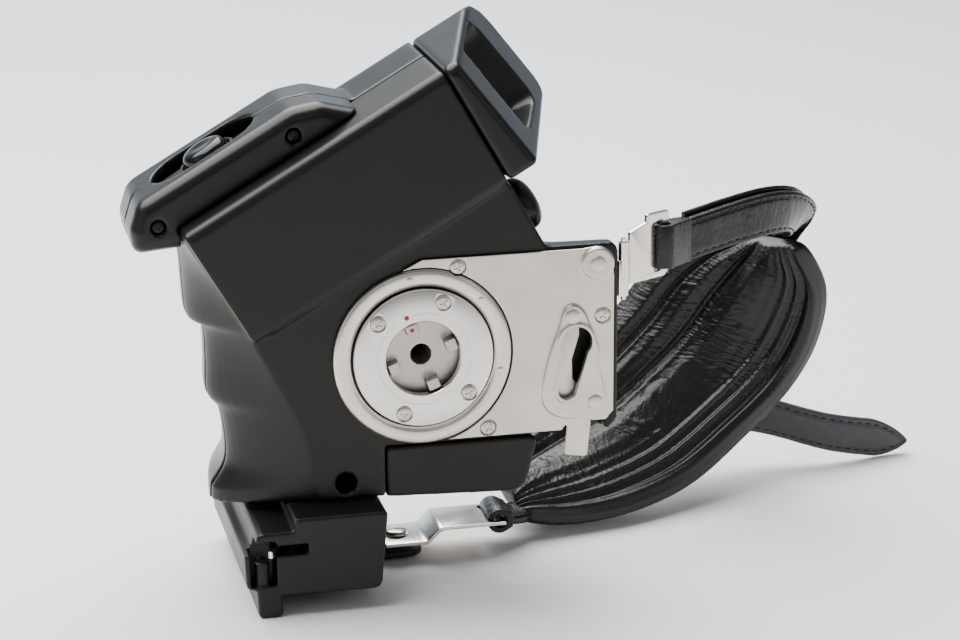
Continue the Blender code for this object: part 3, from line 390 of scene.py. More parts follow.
def piece(name, mesh, finish, *nodes, body=HOME, angle=38):
    """A visible piece in the row frame that rides on a body and stands for CAD nodes."""
    material, slot = finish
    mesh.transform(TO_WORLD)
    mesh.materials.clear()
    mesh.materials.append(material)
    mesh.shade_smooth()
    mesh.set_sharp_from_angle(angle=math.radians(angle))
    mesh.name = name
    made = bpy.data.objects.new(name, mesh)
    bpy.context.scene.collection.objects.link(made)
    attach(made, body)
    if nodes:
        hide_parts(*nodes)
    return made


# ---------------------------------------------------------------- materials

class Shader:
    """A Principled material under construction, with object-space textures in millimetres."""

    def __init__(self, name, colour, roughness, metallic=0.0):
        self.material = bpy.data.materials.new(name)
        self.material.use_nodes = True
        self.tree = self.material.node_tree
        self.bsdf = self.tree.nodes["Principled BSDF"]
        self.bsdf.inputs["Base Color"].default_value = (*colour, 1.0)
        self.bsdf.inputs["Roughness"].default_value = roughness
        self.bsdf.inputs["Metallic"].default_value = metallic
        self.place = self.node("ShaderNodeTexCoord")
        self.normal = None

    def node(self, kind, **values):
        made = self.tree.nodes.new(kind)
        for key, value in values.items():
            if hasattr(made, key):
                setattr(made, key, value)
            else:
                made.inputs[key.replace("_", " ")].default_value = value
        return made

    def link(self, out, into):
        self.tree.links.new(out, into)

    def coordinates(self, stretch=EVEN, turn=(0.0, 0.0, 0.0), home=(0.0, 0.0, 0.0)):
        """Coordinates in millimetres, stretched, turned and counted from a home in metres."""
        shift = self.node("ShaderNodeMapping")
        shift.inputs["Location"].default_value = [-TO_MM * value for value in home]
        shift.inputs["Scale"].default_value = [TO_MM * value for value in stretch]
        shift.inputs["Rotation"].default_value = turn
        self.link(self.place.outputs["Object"], shift.inputs["Vector"])
        return shift.outputs["Vector"]

    def noise(self, scale, detail=3.0, rough=0.5, stretch=EVEN, turn=(0.0, 0.0, 0.0)):
        """Noise whose scale is in features per millimetre."""
        made = self.node("ShaderNodeTexNoise", Scale=scale, Detail=detail, Roughness=rough)
        self.link(self.coordinates(stretch, turn), made.inputs["Vector"])
        return made.outputs["Fac"]

    def cell_walls(self, scale):
        """Distance from the walls of irregular cells."""
        made = self.node("ShaderNodeTexVoronoi", Scale=scale, feature="DISTANCE_TO_EDGE")
        self.link(self.coordinates(), made.inputs["Vector"])
        return made.outputs["Distance"]

    def ramp(self, value, low, high, out_low=0.0, out_high=1.0):
        made = self.node("ShaderNodeMapRange")
        for key, amount in (("From Min", low), ("From Max", high), ("To Min", out_low),
                            ("To Max", out_high)):
            made.inputs[key].default_value = amount
        self.link(value, made.inputs["Value"])
        return made.outputs["Result"]

    def blend(self, share, low, high):
        """A colour between two, by a share."""
        made = self.node("ShaderNodeMix", data_type="RGBA")
        made.inputs[6].default_value = (*low, 1.0)
        made.inputs[7].default_value = (*high, 1.0)
        self.link(share, made.inputs[0])
        return made.outputs[2]

    def add(self, first, second, operation="ADD"):
        made = self.node("ShaderNodeMath")
        made.operation = operation
        self.link(first, made.inputs[0])
        if isinstance(second, (int, float)):
            made.inputs[1].default_value = second
        else:
            self.link(second, made.inputs[1])
        return made.outputs[0]

    def bump(self, height, strength, depth):
        """Bump by a height, with a depth in millimetres."""
        made = self.node("ShaderNodeBump")
        made.inputs["Strength"].default_value = strength
        made.inputs["Distance"].default_value = depth * MM
        self.link(height, made.inputs["Height"])
        if self.normal:
            self.link(self.normal, made.inputs["Normal"])
        self.normal = made.outputs["Normal"]
        self.link(self.normal, self.bsdf.inputs["Normal"])

    def colour(self, source):
        self.link(source, self.bsdf.inputs["Base Color"])

    def roughness(self, source):
        self.link(source, self.bsdf.inputs["Roughness"])

    def set(self, name, value):
        self.bsdf.inputs[name].default_value = value


def moulded_plastic(name, colour, roughness, grain=0.5):
    """Satin moulded plastic: a fine spark-eroded grain, cloudy gloss and rubbed specks."""
    made = Shader(name, colour, roughness)
    cloud = made.noise(0.05, 4.0, 0.6)
    specks = made.ramp(made.noise(1.3, 2.0, 0.6), 0.73, 0.78)
    made.colour(made.blend(made.add(specks, 0.35, "MULTIPLY"), colour, (0.05, 0.05, 0.05)))
    made.roughness(made.ramp(cloud, 0.3, 0.7, roughness - 0.035, roughness + 0.045))
    made.bump(made.noise(5.5, 2.0, 0.5), grain * 0.6, 0.012)
    made.bump(made.noise(0.25, 2.0, 0.5), 0.15, 0.02)
    made.set("Specular IOR Level", 0.28)
    return made.material


def sheet_metal(name, colour, roughness, along=EVEN, stain=0.5):
    """Plated sheet: fine drawn grain, soft staining and handling marks."""
    made = Shader(name, colour, roughness, 1.0)
    grain = made.noise(3.5, 4.0, 0.65, along)
    cloud = made.noise(0.07, 5.0, 0.65)
    dark = tuple(value * 0.80 for value in colour)
    made.colour(made.blend(made.ramp(cloud, 0.35, 0.70, 0.0, stain), colour, dark))
    mixed = made.add(made.add(grain, 0.5, "MULTIPLY"), made.add(cloud, 0.5, "MULTIPLY"))
    made.roughness(made.ramp(mixed, 0.3, 0.7, roughness - 0.08, roughness + 0.10))
    made.bump(grain, 0.25, 0.012)
    scratch = made.ramp(made.noise(0.9, 2.0, 0.5, (1.0, 14.0, 1.0), (0.3, 0.9, 0.5)), 0.69, 0.72)
    made.bump(scratch, 0.3, 0.01)
    return made.material


def turned_metal(name, colour, roughness):
    """Lathe-cut metal: fine rings round the coupling's axis."""
    made = Shader(name, colour, roughness, 1.0)
    flat = made.node("ShaderNodeVectorMath", operation="MULTIPLY")
    flat.inputs[1].default_value = (1.0, 0.0, 1.0)
    made.link(made.coordinates(home=ORIGIN), flat.inputs[0])
    reach = made.node("ShaderNodeVectorMath", operation="LENGTH")
    made.link(flat.outputs["Vector"], reach.inputs[0])
    rings = made.node("ShaderNodeTexNoise", Scale=6.0, Detail=3.0, noise_dimensions="1D")
    made.link(reach.outputs["Value"], rings.inputs["W"])
    cloud = made.noise(0.12, 4.0, 0.6)
    made.roughness(made.ramp(rings.outputs["Fac"], 0.3, 0.7, roughness - 0.06, roughness + 0.08))
    made.colour(made.blend(made.ramp(cloud, 0.4, 0.7, 0.0, 0.35), colour,
                           tuple(value * 0.8 for value in colour)))
    made.bump(rings.outputs["Fac"], 0.5, 0.012)
    return made.material


def leather(name, colour, roughness, pebble, crease, scuff, folds=EVEN):
    """Grained leather: pebbles with dark valleys, creases, uneven gloss and scuffs."""
    made = Shader(name, colour, roughness)
    grain = made.ramp(made.cell_walls(0.95), 0.0, 0.22)
    fine = made.noise(3.2, 4.0, 0.6)
    wander = made.noise(0.30, 5.0, 0.62, folds)
    lines = made.ramp(made.add(wander, 0.5, "SUBTRACT"), -0.03, 0.03)
    edge = made.ramp(made.noise(0.7, 6.0, 0.7, folds), 0.52, 0.74, 0.0, scuff)
    light = (colour[0] * 5 + 0.06, colour[1] * 5 + 0.06, colour[2] * 5 + 0.062)
    made.colour(made.blend(edge, colour, light))
    uneven = made.add(made.add(fine, 0.4, "MULTIPLY"), made.add(grain, 0.25, "MULTIPLY"),
                      "SUBTRACT")
    made.roughness(made.ramp(uneven, -0.15, 0.4, roughness - 0.06, roughness + 0.14))
    made.bump(grain, 0.5 * pebble, 0.09)
    made.bump(fine, 0.22, 0.04)
    made.bump(lines, crease * 0.7, 0.07)
    made.set("Specular IOR Level", 0.36)
    return made.material


def plain_dark(name, colour, roughness):
    """Dull dark moulding or thread, with a little grain."""
    made = Shader(name, colour, roughness)
    made.roughness(made.ramp(made.noise(0.4, 3.0), 0.3, 0.7, roughness - 0.06, roughness + 0.06))
    made.bump(made.noise(4.0, 2.0), 0.4, 0.03)
    return made.material


def paint_dot(name, colour):
    """A drop of paint, uneven in tone."""
    made = Shader(name, colour, 0.42)
    made.colour(made.blend(made.noise(3.0, 2.0), colour, tuple(value * 0.55 for value in colour)))
    return made.material


def printed_sleeve(name):
    """A battery's shrink sleeve: dark and slightly glossy."""
    made = Shader(name, (0.03, 0.03, 0.035), 0.3)
    made.roughness(made.ramp(made.noise(0.03, 1.0), 0.3, 0.7, 0.25, 0.38))
    made.bump(made.noise(0.8, 3.0), 0.2, 0.02)
    made.set("Coat Weight", 0.4)
    return made.material


def board_green(name):
    """Solder-masked board: faint tracks under green lacquer."""
    made = Shader(name, (0.02, 0.12, 0.05), 0.35)
    tracks = made.node("ShaderNodeTexBrick", Scale=0.6)
    tracks.inputs["Color1"].default_value = (0.02, 0.12, 0.05, 1.0)
    tracks.inputs["Color2"].default_value = (0.025, 0.14, 0.06, 1.0)
    tracks.inputs["Mortar"].default_value = (0.05, 0.22, 0.10, 1.0)
    made.link(made.coordinates(), tracks.inputs["Vector"])
    made.colour(tracks.outputs["Color"])
    made.bump(made.noise(0.5, 3.0), 0.2, 0.05)
    return made.material


BLACK = moulded_plastic("casing_plastic", (0.0055, 0.0055, 0.0053), 0.30), "black_plastic"
BLACK_MATT = moulded_plastic("camera_side_plastic", (0.0060, 0.0060, 0.0057), 0.38), "black_plastic"
DARK = moulded_plastic("dark_moulding", (0.0045, 0.0045, 0.0045), 0.36, 0.6), "dark_plastic"
BUTTON = moulded_plastic("button_plastic", (0.005, 0.005, 0.005), 0.20, 0.2), "black_plastic"
PLATE = sheet_metal("plated_sheet", (0.66, 0.62, 0.575), 0.36, along=(1.0, 1.0, 0.25)), \
    "plate_metal"
RING = turned_metal("turned_ring", (0.70, 0.67, 0.63), 0.30), "plate_metal"
FLANGE = turned_metal("machined_flange", (0.78, 0.77, 0.75), 0.27), "bright_metal"
CLAW = turned_metal("claw_metal", (0.52, 0.49, 0.45), 0.42), "bright_metal"
SCREW = sheet_metal("screw_metal", (0.60, 0.57, 0.52), 0.28, stain=0.8), "bright_metal"
BRIGHT = sheet_metal("bright_plate", (0.80, 0.77, 0.72), 0.16, stain=0.3), "bright_metal"
STEEL = sheet_metal("plain_steel", (0.45, 0.44, 0.42), 0.34), "steel"
BRASS = sheet_metal("cut_brass", (0.62, 0.46, 0.20), 0.32), "brass"
PAD_LEATHER = leather("pad_leather", (0.0045, 0.0043, 0.0046), 0.33, 0.45, 0.3, 0.0), "leather"
STRAP_LEATHER = leather("strap_leather", (0.0055, 0.0053, 0.0055), 0.27, 0.2, 0.8, 0.10,
                        (1.0, 1.0, 0.35)), "leather"
TAIL_LEATHER = leather("tail_leather", (0.046, 0.042, 0.052), 0.42, 0.2, 0.6, 0.10,
                       (0.5, 1.0, 1.0)), "leather"
THREAD = plain_dark("stitch_thread", (0.010, 0.010, 0.010), 0.6), "leather"
RED = paint_dot("red_mark", (0.45, 0.012, 0.045)), "bright_metal"
SLEEVE = printed_sleeve("cell_sleeve"), "cell_wrap"
BOARD = board_green("board_lacquer"), "board_green"
MARK = plain_dark("panel_mark", (0.42, 0.42, 0.41), 0.5), "dark_plastic"

POD_SCREW = DARK[0], "steel"
LUG = BRIGHT[0], "plate_metal"

CARRIED = {slot: material for material, slot in (BLACK, DARK, PLATE, BRIGHT, STEEL, BRASS,
                                                 PAD_LEATHER, BOARD, SLEEVE)}
for entry in frame["record"]["subparts"]:
    data = NODES[entry["node"]].data
    data.materials.clear()
    data.materials.append(CARRIED[entry["material_slot"]])


# ---------------------------------------------------------------- casing

# Each rail of the body: (x, z) at the camera side, at the seam, at the back, and whether it bulges.
BODY_RAILS = [
    ((-56.5, 32.5), (-57.0, 32.5), (-47.0, 31.0), True),
    ((-51.5, 24.6), (-55.6, 24.6), (-45.0, 24.0), True),
    ((-46.6, 16.6), (-55.2, 16.6), (-44.0, 16.0), True),
    ((-42.4, 9.4), (-54.4, 9.4), (-43.0, 9.4), True),
    ((-41.1, 7.2), (-50.8, 7.0), (-41.5, 6.8), True),
    ((-36.0, -3.0), (-50.3, -1.3), (-40.0, -1.3), True),
    ((-32.2, -10.3), (-50.3, -10.3), (-40.0, -10.3), True),
    ((-30.2, -14.4), (-47.4, -14.6), (-38.0, -14.6), True),
    ((-28.4, -19.6), (-46.2, -22.0), (-37.0, -22.0), True),
    ((-27.2, -26.6), (-46.6, -28.7), (-37.2, -28.0), True),
    ((-26.3, -31.5), (-50.0, -34.4), (-38.5, -31.5), True),
    ((-25.8, -34.0), (-50.2, -38.0), (-38.5, -33.2), True),
    ((-24.0, -35.1), (-33.4, -38.1), (-32.0, -33.6), True),
    ((-22.0, -35.1), (-32.6, -35.1), (-31.0, -33.0), True),
    ((-9.4, -35.1), (-9.4, -35.1), (-13.0, -31.0), False),
    ((-9.4, -22.4), (-9.4, -22.4), (-10.0, -22.2), False),
    ((46.8, -22.3), (36.5, -22.0), (0.0, -20.0), False),
    ((48.8, -20.0), (38.0, -19.5), (3.0, -17.0), False),
    ((48.8, 23.6), (38.0, 14.0), (3.0, 8.0), False),
    ((47.4, 25.0), (36.6, 16.0), (2.0, 13.0), False),
    ((31.0, 25.0), (30.5, 23.0), (2.0, 20.0), False),
    ((22.2, 40.8), (22.2, 40.8), (6.0, 33.0), False),
    ((18.6, 44.5), (18.6, 44.5), (2.0, 37.5), False),
    ((-45.0, 21.0), (-44.0, 21.0), (-38.0, 27.0), False),
]
SCALLOP_RAILS = 11


def body_ring(y):
    """The body's outline at a depth."""
    ring = []
    for near, seam, back, bulges in BODY_RAILS:
        near, seam, back = Vector(near), Vector(seam), Vector(back)
        if y <= SEAM_Y:
            start = BODY_FRONT if bulges else LEDGE_Y
            share = max(0.0, (y - start) / (SEAM_Y - start))
            point = near.lerp(seam, math.sin(share * math.pi / 2) if bulges else share)
        else:
            share = (y - SEAM_Y) / (BODY_BACK - SEAM_Y)
            point = seam.lerp(back, 1 - math.sqrt(max(0.0, 1 - share ** 2)) if bulges else share)
        ring.append((point.x, point.y))
    return ring


def body_skin():
    """The body's outer form, with the finger scallops drawn as smooth curves."""
    depths = [BODY_FRONT, 1.6, 2.4, 3.6, LEDGE_Y, 6.5, 8.0, 10.0, 12.0, 14.0, 16.0, SEAM_Y]
    depths += [20.0, 23.0, 26.0, 29.0, 32.0, 35.0, 38.0, 40.5, 42.5, 44.2, 45.6, 46.5, BODY_BACK]
    rings = []
    for y in depths:
        ring = body_ring(y)
        ring = spline(ring[:SCALLOP_RAILS], 4, closed=False) + ring[SCALLOP_RAILS:]
        rings.append([(x, y, z) for x, z in ring])
    return loft(rings)


def body_hollow():
    """The room inside the body; its walls grow thicker near the back."""
    depths = [(BODY_FRONT + WALL, 0), (9.0, 0), (13.5, 0), (SEAM_Y, 0), (26.0, 0), (33.0, 0),
              (39.5, 1.0), (44.6, 2.0)]
    return loft([[(x, y, z) for x, z in inset(body_ring(y), WALL + extra)] for y, extra in depths])


TUBE_SECTION = [(TUBE_FRONT, 0.0, 1.5), (TUBE_BACK, 0.0, 5.0), (TUBE_BACK, TUBE_HEIGHT, 9.0),
                (TUBE_FRONT, TUBE_HEIGHT, 2.5)]


def bay_section():
    front, back, top = TUBE_FRONT + TUBE_WALL, TUBE_BACK - TUBE_WALL, TUBE_HEIGHT - TUBE_WALL
    return rounded([(front, TUBE_WALL, 0.8), (back, TUBE_WALL, 3.6), (back, top, 6.8),
                    (front, top, 1.8)])


POD_OUTLINE = [(-12.4, 31.6, 2.5), (-10.3, 36.8, 5.0), (-5.2, POD_TOP, 5.0), (36.5, POD_TOP, 8.0),
               (43.5, 38.8, 6.0), (51.5, 31.2, 0.0), (12.0, 20.0, 0.0), (-1.5, 26.6, 0.0)]
POD_SCREWS = [(34.2, 35.6), (-3.9, 34.6)]


def pod_ring(distance):
    corners = list(reversed(POD_OUTLINE))
    moved = inset([(x, y) for x, y, _ in corners], distance)
    radii = [max(radius - distance, 0.1) if radius else 0.0 for _, _, radius in corners]
    return rounded([(x, y, radius) for (x, y), radius in zip(moved, radii)], 10)


def pod_form(stations):
    return placed(loft([[(u, v, -y) for u, v in pod_ring(distance)] for y, distance in stations]),
                  facing_tube())


def recess_outline(grow):
    """The stadium-shaped well round the release button."""
    reach = 14.2 + grow
    half = 7.8 + grow
    shift = reach - half
    right = arc((BUTTON_ALONG + shift, 0.0), half, -90, 90, 24)
    left = arc((BUTTON_ALONG - shift, 0.0), half, 90, 270, 24)
    return right + left


def recess_cuts():
    return [minus(slab([recess_outline(0.0)], RECESS_FLOOR, POD_TOP + 3.0), above_pod()),
            minus(slab([recess_outline(-1.0)], 33.6, RECESS_FLOOR + 1.0), above_pod())]


def bay_steps(inner):
    """The bay's floor in one casing half, and the bay itself cut out."""
    floor_back = SEAM_Y if inner else TUBE_BACK - 1.0
    floor_front = TUBE_FRONT + 1.0 if inner else SEAM_Y + GAP
    middle = (floor_back + floor_front) / 2
    floor = slab([rectangle(TUBE_LENGTH - 6.0, floor_back - floor_front)], -0.8, TUBE_WALL + 1.0)
    return [plus(floor, above_pod((TUBE_LENGTH + 3.0) / 2, middle)),
            minus(slab([bay_section()], 1.6, TUBE_LENGTH + 1.0), down_tube())]


def casing_steps(inner):
    """The battery tube joined on, the other side of the seam cut off, and the body hollowed."""
    reach = 50
    beyond = SEAM_Y + reach if inner else SEAM_Y + GAP - reach
    return [plus(slab([rounded(TUBE_SECTION)], 0.0, TUBE_LENGTH), down_tube()),
            minus(box((6 * reach, 2 * reach, 6 * reach), (0, beyond, 0))), minus(body_hollow())]


CLAW_RADIUS = 9.0
PLATE_SCREWS = [(8.8, 21.8), (44.7, 7.2), (16.0, -19.3)]
FLANGE_SCREWS = [(14.5 * math.cos(math.radians(angle)), 14.5 * math.sin(math.radians(angle)))
                 for angle in (70.0, 139.5, 250.0, 319.5)]


def camera_side_cuts():
    """Drive well, blind round hole, screw holes and the lock lever's pocket."""
    cuts = [minus(cylinder(CLAW_RADIUS + 0.5, -8.0, 1.0), facing_plate()),
            minus(cylinder(2.65, -8.0, 1.0, (-19.1, -31.1)), facing_plate())]
    cuts += [minus(cylinder(1.15, -2.9, 0.0, centre, 16), facing_plate())
             for centre in PLATE_SCREWS + FLANGE_SCREWS]
    return cuts + [plus(box((21.0, 2.8, 35.0), (35.5, 4.2, -4.0))),
                   minus(box((19.0, 3.3, 38.5), (36.0, 2.6, -7.6)))]


def main_casing():
    inner = carved(body_skin(), *casing_steps(True), *bay_steps(True), *camera_side_cuts())
    piece("casing_inner", softened(inner, 0.6, 4), BLACK_MATT, "inner_shell", angle=60)
    pod_back = [(POD_BACK, 7.0), (POD_BACK - 0.5, 5.0), (POD_BACK - 1.6, 2.8),
                (POD_BACK - 3.2, 1.1), (30.0, 0.0), (SEAM_Y + GAP, 0.0)]
    pod_hollow = [(32.0, 5.5), (28.0, 2.2), (SEAM_Y - 2.0, 2.2)]
    outer = carved(body_skin(), *casing_steps(False), plus(pod_form(pod_back)),
                   minus(pod_form(pod_hollow)), *bay_steps(False), *recess_cuts())
    piece("casing_outer", softened(outer, 0.6, 4), BLACK, "outer_shell", angle=60)


def pod_cover():
    shoulder, edge = 9.0, 3.2
    front = [(SEAM_Y, 0.0)] + [(shoulder - (shoulder - POD_FRONT) * sine, edge * (1 - cosine))
                               for sine, cosine in quarter(7)]
    far, low, high = TUBE_FRONT - 4.0, -30.0, TUBE_HEIGHT + GAP
    tube = [(far, low), (TUBE_BACK, low), (TUBE_BACK, high), (far, high)]
    body = [[(x, y, z) for x, z in inset(body_ring(y), -GAP)]
            for y in (-6.0, LEDGE_Y, 9.0, 13.5, SEAM_Y + 0.5)]
    steps = [minus(pod_form([(SEAM_Y + 1.0, 2.0), (POD_FRONT + 2.4, 2.0)])),
             minus(slab([tube], -0.4, TUBE_LENGTH), down_tube()), minus(loft(body)), *recess_cuts()]
    steps += [minus(cylinder(1.9, -POD_FRONT - 1.4, -POD_FRONT + 1.0, centre), facing_tube())
              for centre in POD_SCREWS]
    cover = softened(carved(pod_form(front), *steps), 0.42, 4)
    piece("control_pod_cover", cover, BLACK, "pod_cover", angle=60)
    for number, centre in enumerate(POD_SCREWS, 1):
        screw = placed(cross_screw(1.5, 0.7, 3.0, 20 + 35 * number),
                       facing_tube(*centre, POD_FRONT + 1.1))
        piece(f"pod_screw_{number}_head", screw, POD_SCREW, f"pod_screw_{number}")


def cross_screw(head, height, length, turn):
    """A crowned screw head with a cross recess; its top is at local z = height."""
    thread = head * 0.42
    profile = [(0.0, height)] + [(head * sine * 0.97, height - height * 0.45 * (1 - cosine))
                                 for sine, cosine in quarter(5, 1)]
    profile += [(head, height * 0.42), (head * 0.98, height * 0.30), (thread, 0.0),
                (thread, -length), (0.0, -length)]
    cuts = [minus(box((head * 1.15, head * 0.27, height * 1.2), (0.0, 0.0, height), 0.04),
                  spin(angle)) for angle in (turn, turn + 90)]
    return carved(turned(profile, 32), *cuts)


# ---------------------------------------------------------------- battery magazine's cap

def magazine_cap():
    """The cap, with a soft tapered pocket for a finger round the latch key."""
    pocket = []
    narrow, wide = (8.6, 5.2, 27.4, 29.8), (6.2, 3.2, 31.5, 30.6)
    for share, along in ((0.0, 77.2), (0.0, 79.0), (0.35, 84.0), (0.7, 90.0), (1.0, 97.0),
                         (1.05, 104.0)):
        y0, a0, y1, a1 = (first + (last - first) * share for first, last in zip(narrow, wide))
        ring = rounded([(y0, a0, 2.5), (y1, a0, 4.0), (y1, a1, 5.5), (y0, a1, 3.5)])
        pocket.append([(y, across, along) for y, across in ring])
    cap = carved(node_mesh("magazine_cap"), minus(loft(pocket), down_tube()))
    piece("cap_shell", softened(cap, 0.42, 5), BLACK, "magazine_cap", body="battery_magazine",
          angle=60)
    ribs = [minus(box((5.4, 0.7, 0.8), (18.0, 9.0 + 3.4 * index, 79.8), 0.1), down_tube())
            for index in range(5)]
    key = carved(placed(box((7.0, 19.0, 2.0), (18.0, 16.0, 78.6), 0.5), down_tube()), *ribs)
    piece("cap_latch_key", key, DARK, "cap_latch", body="cap_latch")


# ---------------------------------------------------------------- foot, lower cover and rear dome

def lower_pieces():
    for name, node, voxel, rounds, finish in (("gear_cover", "lower_cover", 0.40, 4, BLACK_MATT),
                                              ("foot_frame", "foot_housing", 0.34, 3, BLACK_MATT),
                                              ("foot_end_cap", "foot_cap", 0.28, 3, BLACK)):
        piece(name, softened(node_mesh(node), voxel, rounds, tilt=0.0), finish, node, angle=60)
    out = Vector((0.874, 0.0, 0.487))
    place = frame_at((27.0, 13.0, 32.7), DEPTH, out.cross(DEPTH))
    radius, crown = 6.9, 3.8
    profile = [(0.0, 4.4)] + [(radius * sine ** 0.8, 0.6 + crown * cosine)
                              for sine, cosine in quarter(10, 1)] + [(radius, 0.0), (0.0, 0.0)]
    piece("rear_knob", placed(turned(profile, 48), place), DARK, "rear_dome")
    piece("foot_finger", softened(node_mesh("release_finger"), 0.11, 3, tilt=0.0), BRIGHT,
          "release_finger", body="release_finger", angle=50)


# ---------------------------------------------------------------- release button and its neighbours

def control_pieces():
    place = above_pod(BUTTON_ALONG)
    dome = [(0.0, 41.95), (1.6, 42.02), (3.0, 42.15), (4.1, 42.1), (4.9, 41.75), (5.5, 41.1),
            (5.9, 40.2), (6.1, 39.0), (3.2, 39.0), (3.2, 40.4), (1.3, 40.4), (1.3, 34.9),
            (0.0, 34.9)]
    piece("shutter_button", placed(turned(dome, 64), place), BUTTON, "release_button",
          body="release_button", angle=45)
    ring = arc((0.0, 0.0), 7.3, -167, 167, 72) + arc((-10.7, 0.0), 1.55, 110, 250, 12)
    collar = slab([ring, circle(6.5, steps=64)], 38.1, 39.6, 0.22)
    collar = carved(collar, *[minus(box((0.35, 0.35, 1.2), (7.15, 0.0, 38.9)), spin(angle))
                              for angle in range(-150, 151, 10)])
    piece("button_collar", placed(collar, place), DARK, "mode_collar", body="mode_collar")
    panel = slab([recess_outline(-GAP - 0.2), circle(1.8, (BUTTON_ALONG, 0.0))],
                 RECESS_FLOOR - 0.2, RECESS_FLOOR + 0.9, 0.15)
    marks = []
    for index, angle in enumerate((25, 50, 75, 105, 130, 155)):
        mark = box((1.2, 0.26, 0.2), (9.0 + 0.35 * (index % 2), 0.0, RECESS_FLOOR + 0.92))
        marks.append(placed(mark, Matrix.Translation((BUTTON_ALONG, 0.0, 0.0)) @ spin(angle - 90)))
    piece("sunk_panel", placed(panel, above_pod()), DARK, "control_panel")
    piece("panel_ticks", placed(merged(*marks), above_pod()), MARK)


# ---------------------------------------------------------------- camera plate

LEVER_PIVOT = (37.0, 7.6)
RING_RADIUS = 21.9
FLANGE_RADIUS = 17.1
MOUTH_RADIUS = 9.2
CLAW_LUG_TOP = 0.25
PLATE_THICK = 0.8
PANEL_RISE = 0.75
FLANGE_RISE = 1.2
CORNER_BOSS = (43.2, 20.4)
PANEL = [(37.1, 10.4), (34.9, 9.0), (33.5, 4.6), (31.1, -2.4), (29.4, -10.5), (30.0, -14.9),
         (33.3, -17.7), (38.1, -18.5), (42.4, -17.5), (45.2, -15.1), (45.1, -12.0), (44.0, -6.8),
         (43.6, -1.2), (41.5, 4.6), (39.7, 8.7)]
LEVER_OUTLINE = [(33.6, 9.6), (33.4, -10.0), (33.0, -20.0), (36.4, -21.0), (35.6, -28.6),
                 (41.3, -29.4), (42.2, -20.5), (41.0, -13.0), (37.6, -9.0), (37.4, -4.0),
                 (39.2, 2.0), (39.2, 9.6)]


def plate_outline():
    reach = RING_RADIUS + GAP
    start = math.degrees(math.atan2(-21.6, 5.6))
    end = math.degrees(math.atan2(21.6, -5.5))
    ring_side = arc((0.0, 0.0), reach, end, start, 64)
    corner = arc((43.2, 20.2), 4.4, -20, 100, 20)
    return ring_side + [(34.4, -21.6), (35.9, -19.4), (45.6, -19.6), (47.5, -17.4), (47.5, 17.2)] \
        + corner + [(39.6, 24.2), (0.0, 24.2)]


def keyhole_outline(grow=0.0):
    mouth = arc((37.9, 1.0), 3.9 + grow, -42, 215, 36)
    end = arc((35.6, -11.0), 2.3 + grow, 180, 350, 20)
    return mouth + end


def domed(radius, height, centre, base):
    """A low rivet head or dot on the plate's face."""
    profile = [(0.0, height)] + [(radius * sine, height * cosine ** 0.6)
                                 for sine, cosine in quarter(6, 1)[:-1]]
    profile += [(radius, 0.0), (radius, -0.3), (0.0, -0.3)]
    return placed(turned(profile, 32), facing_plate(*centre, -base))


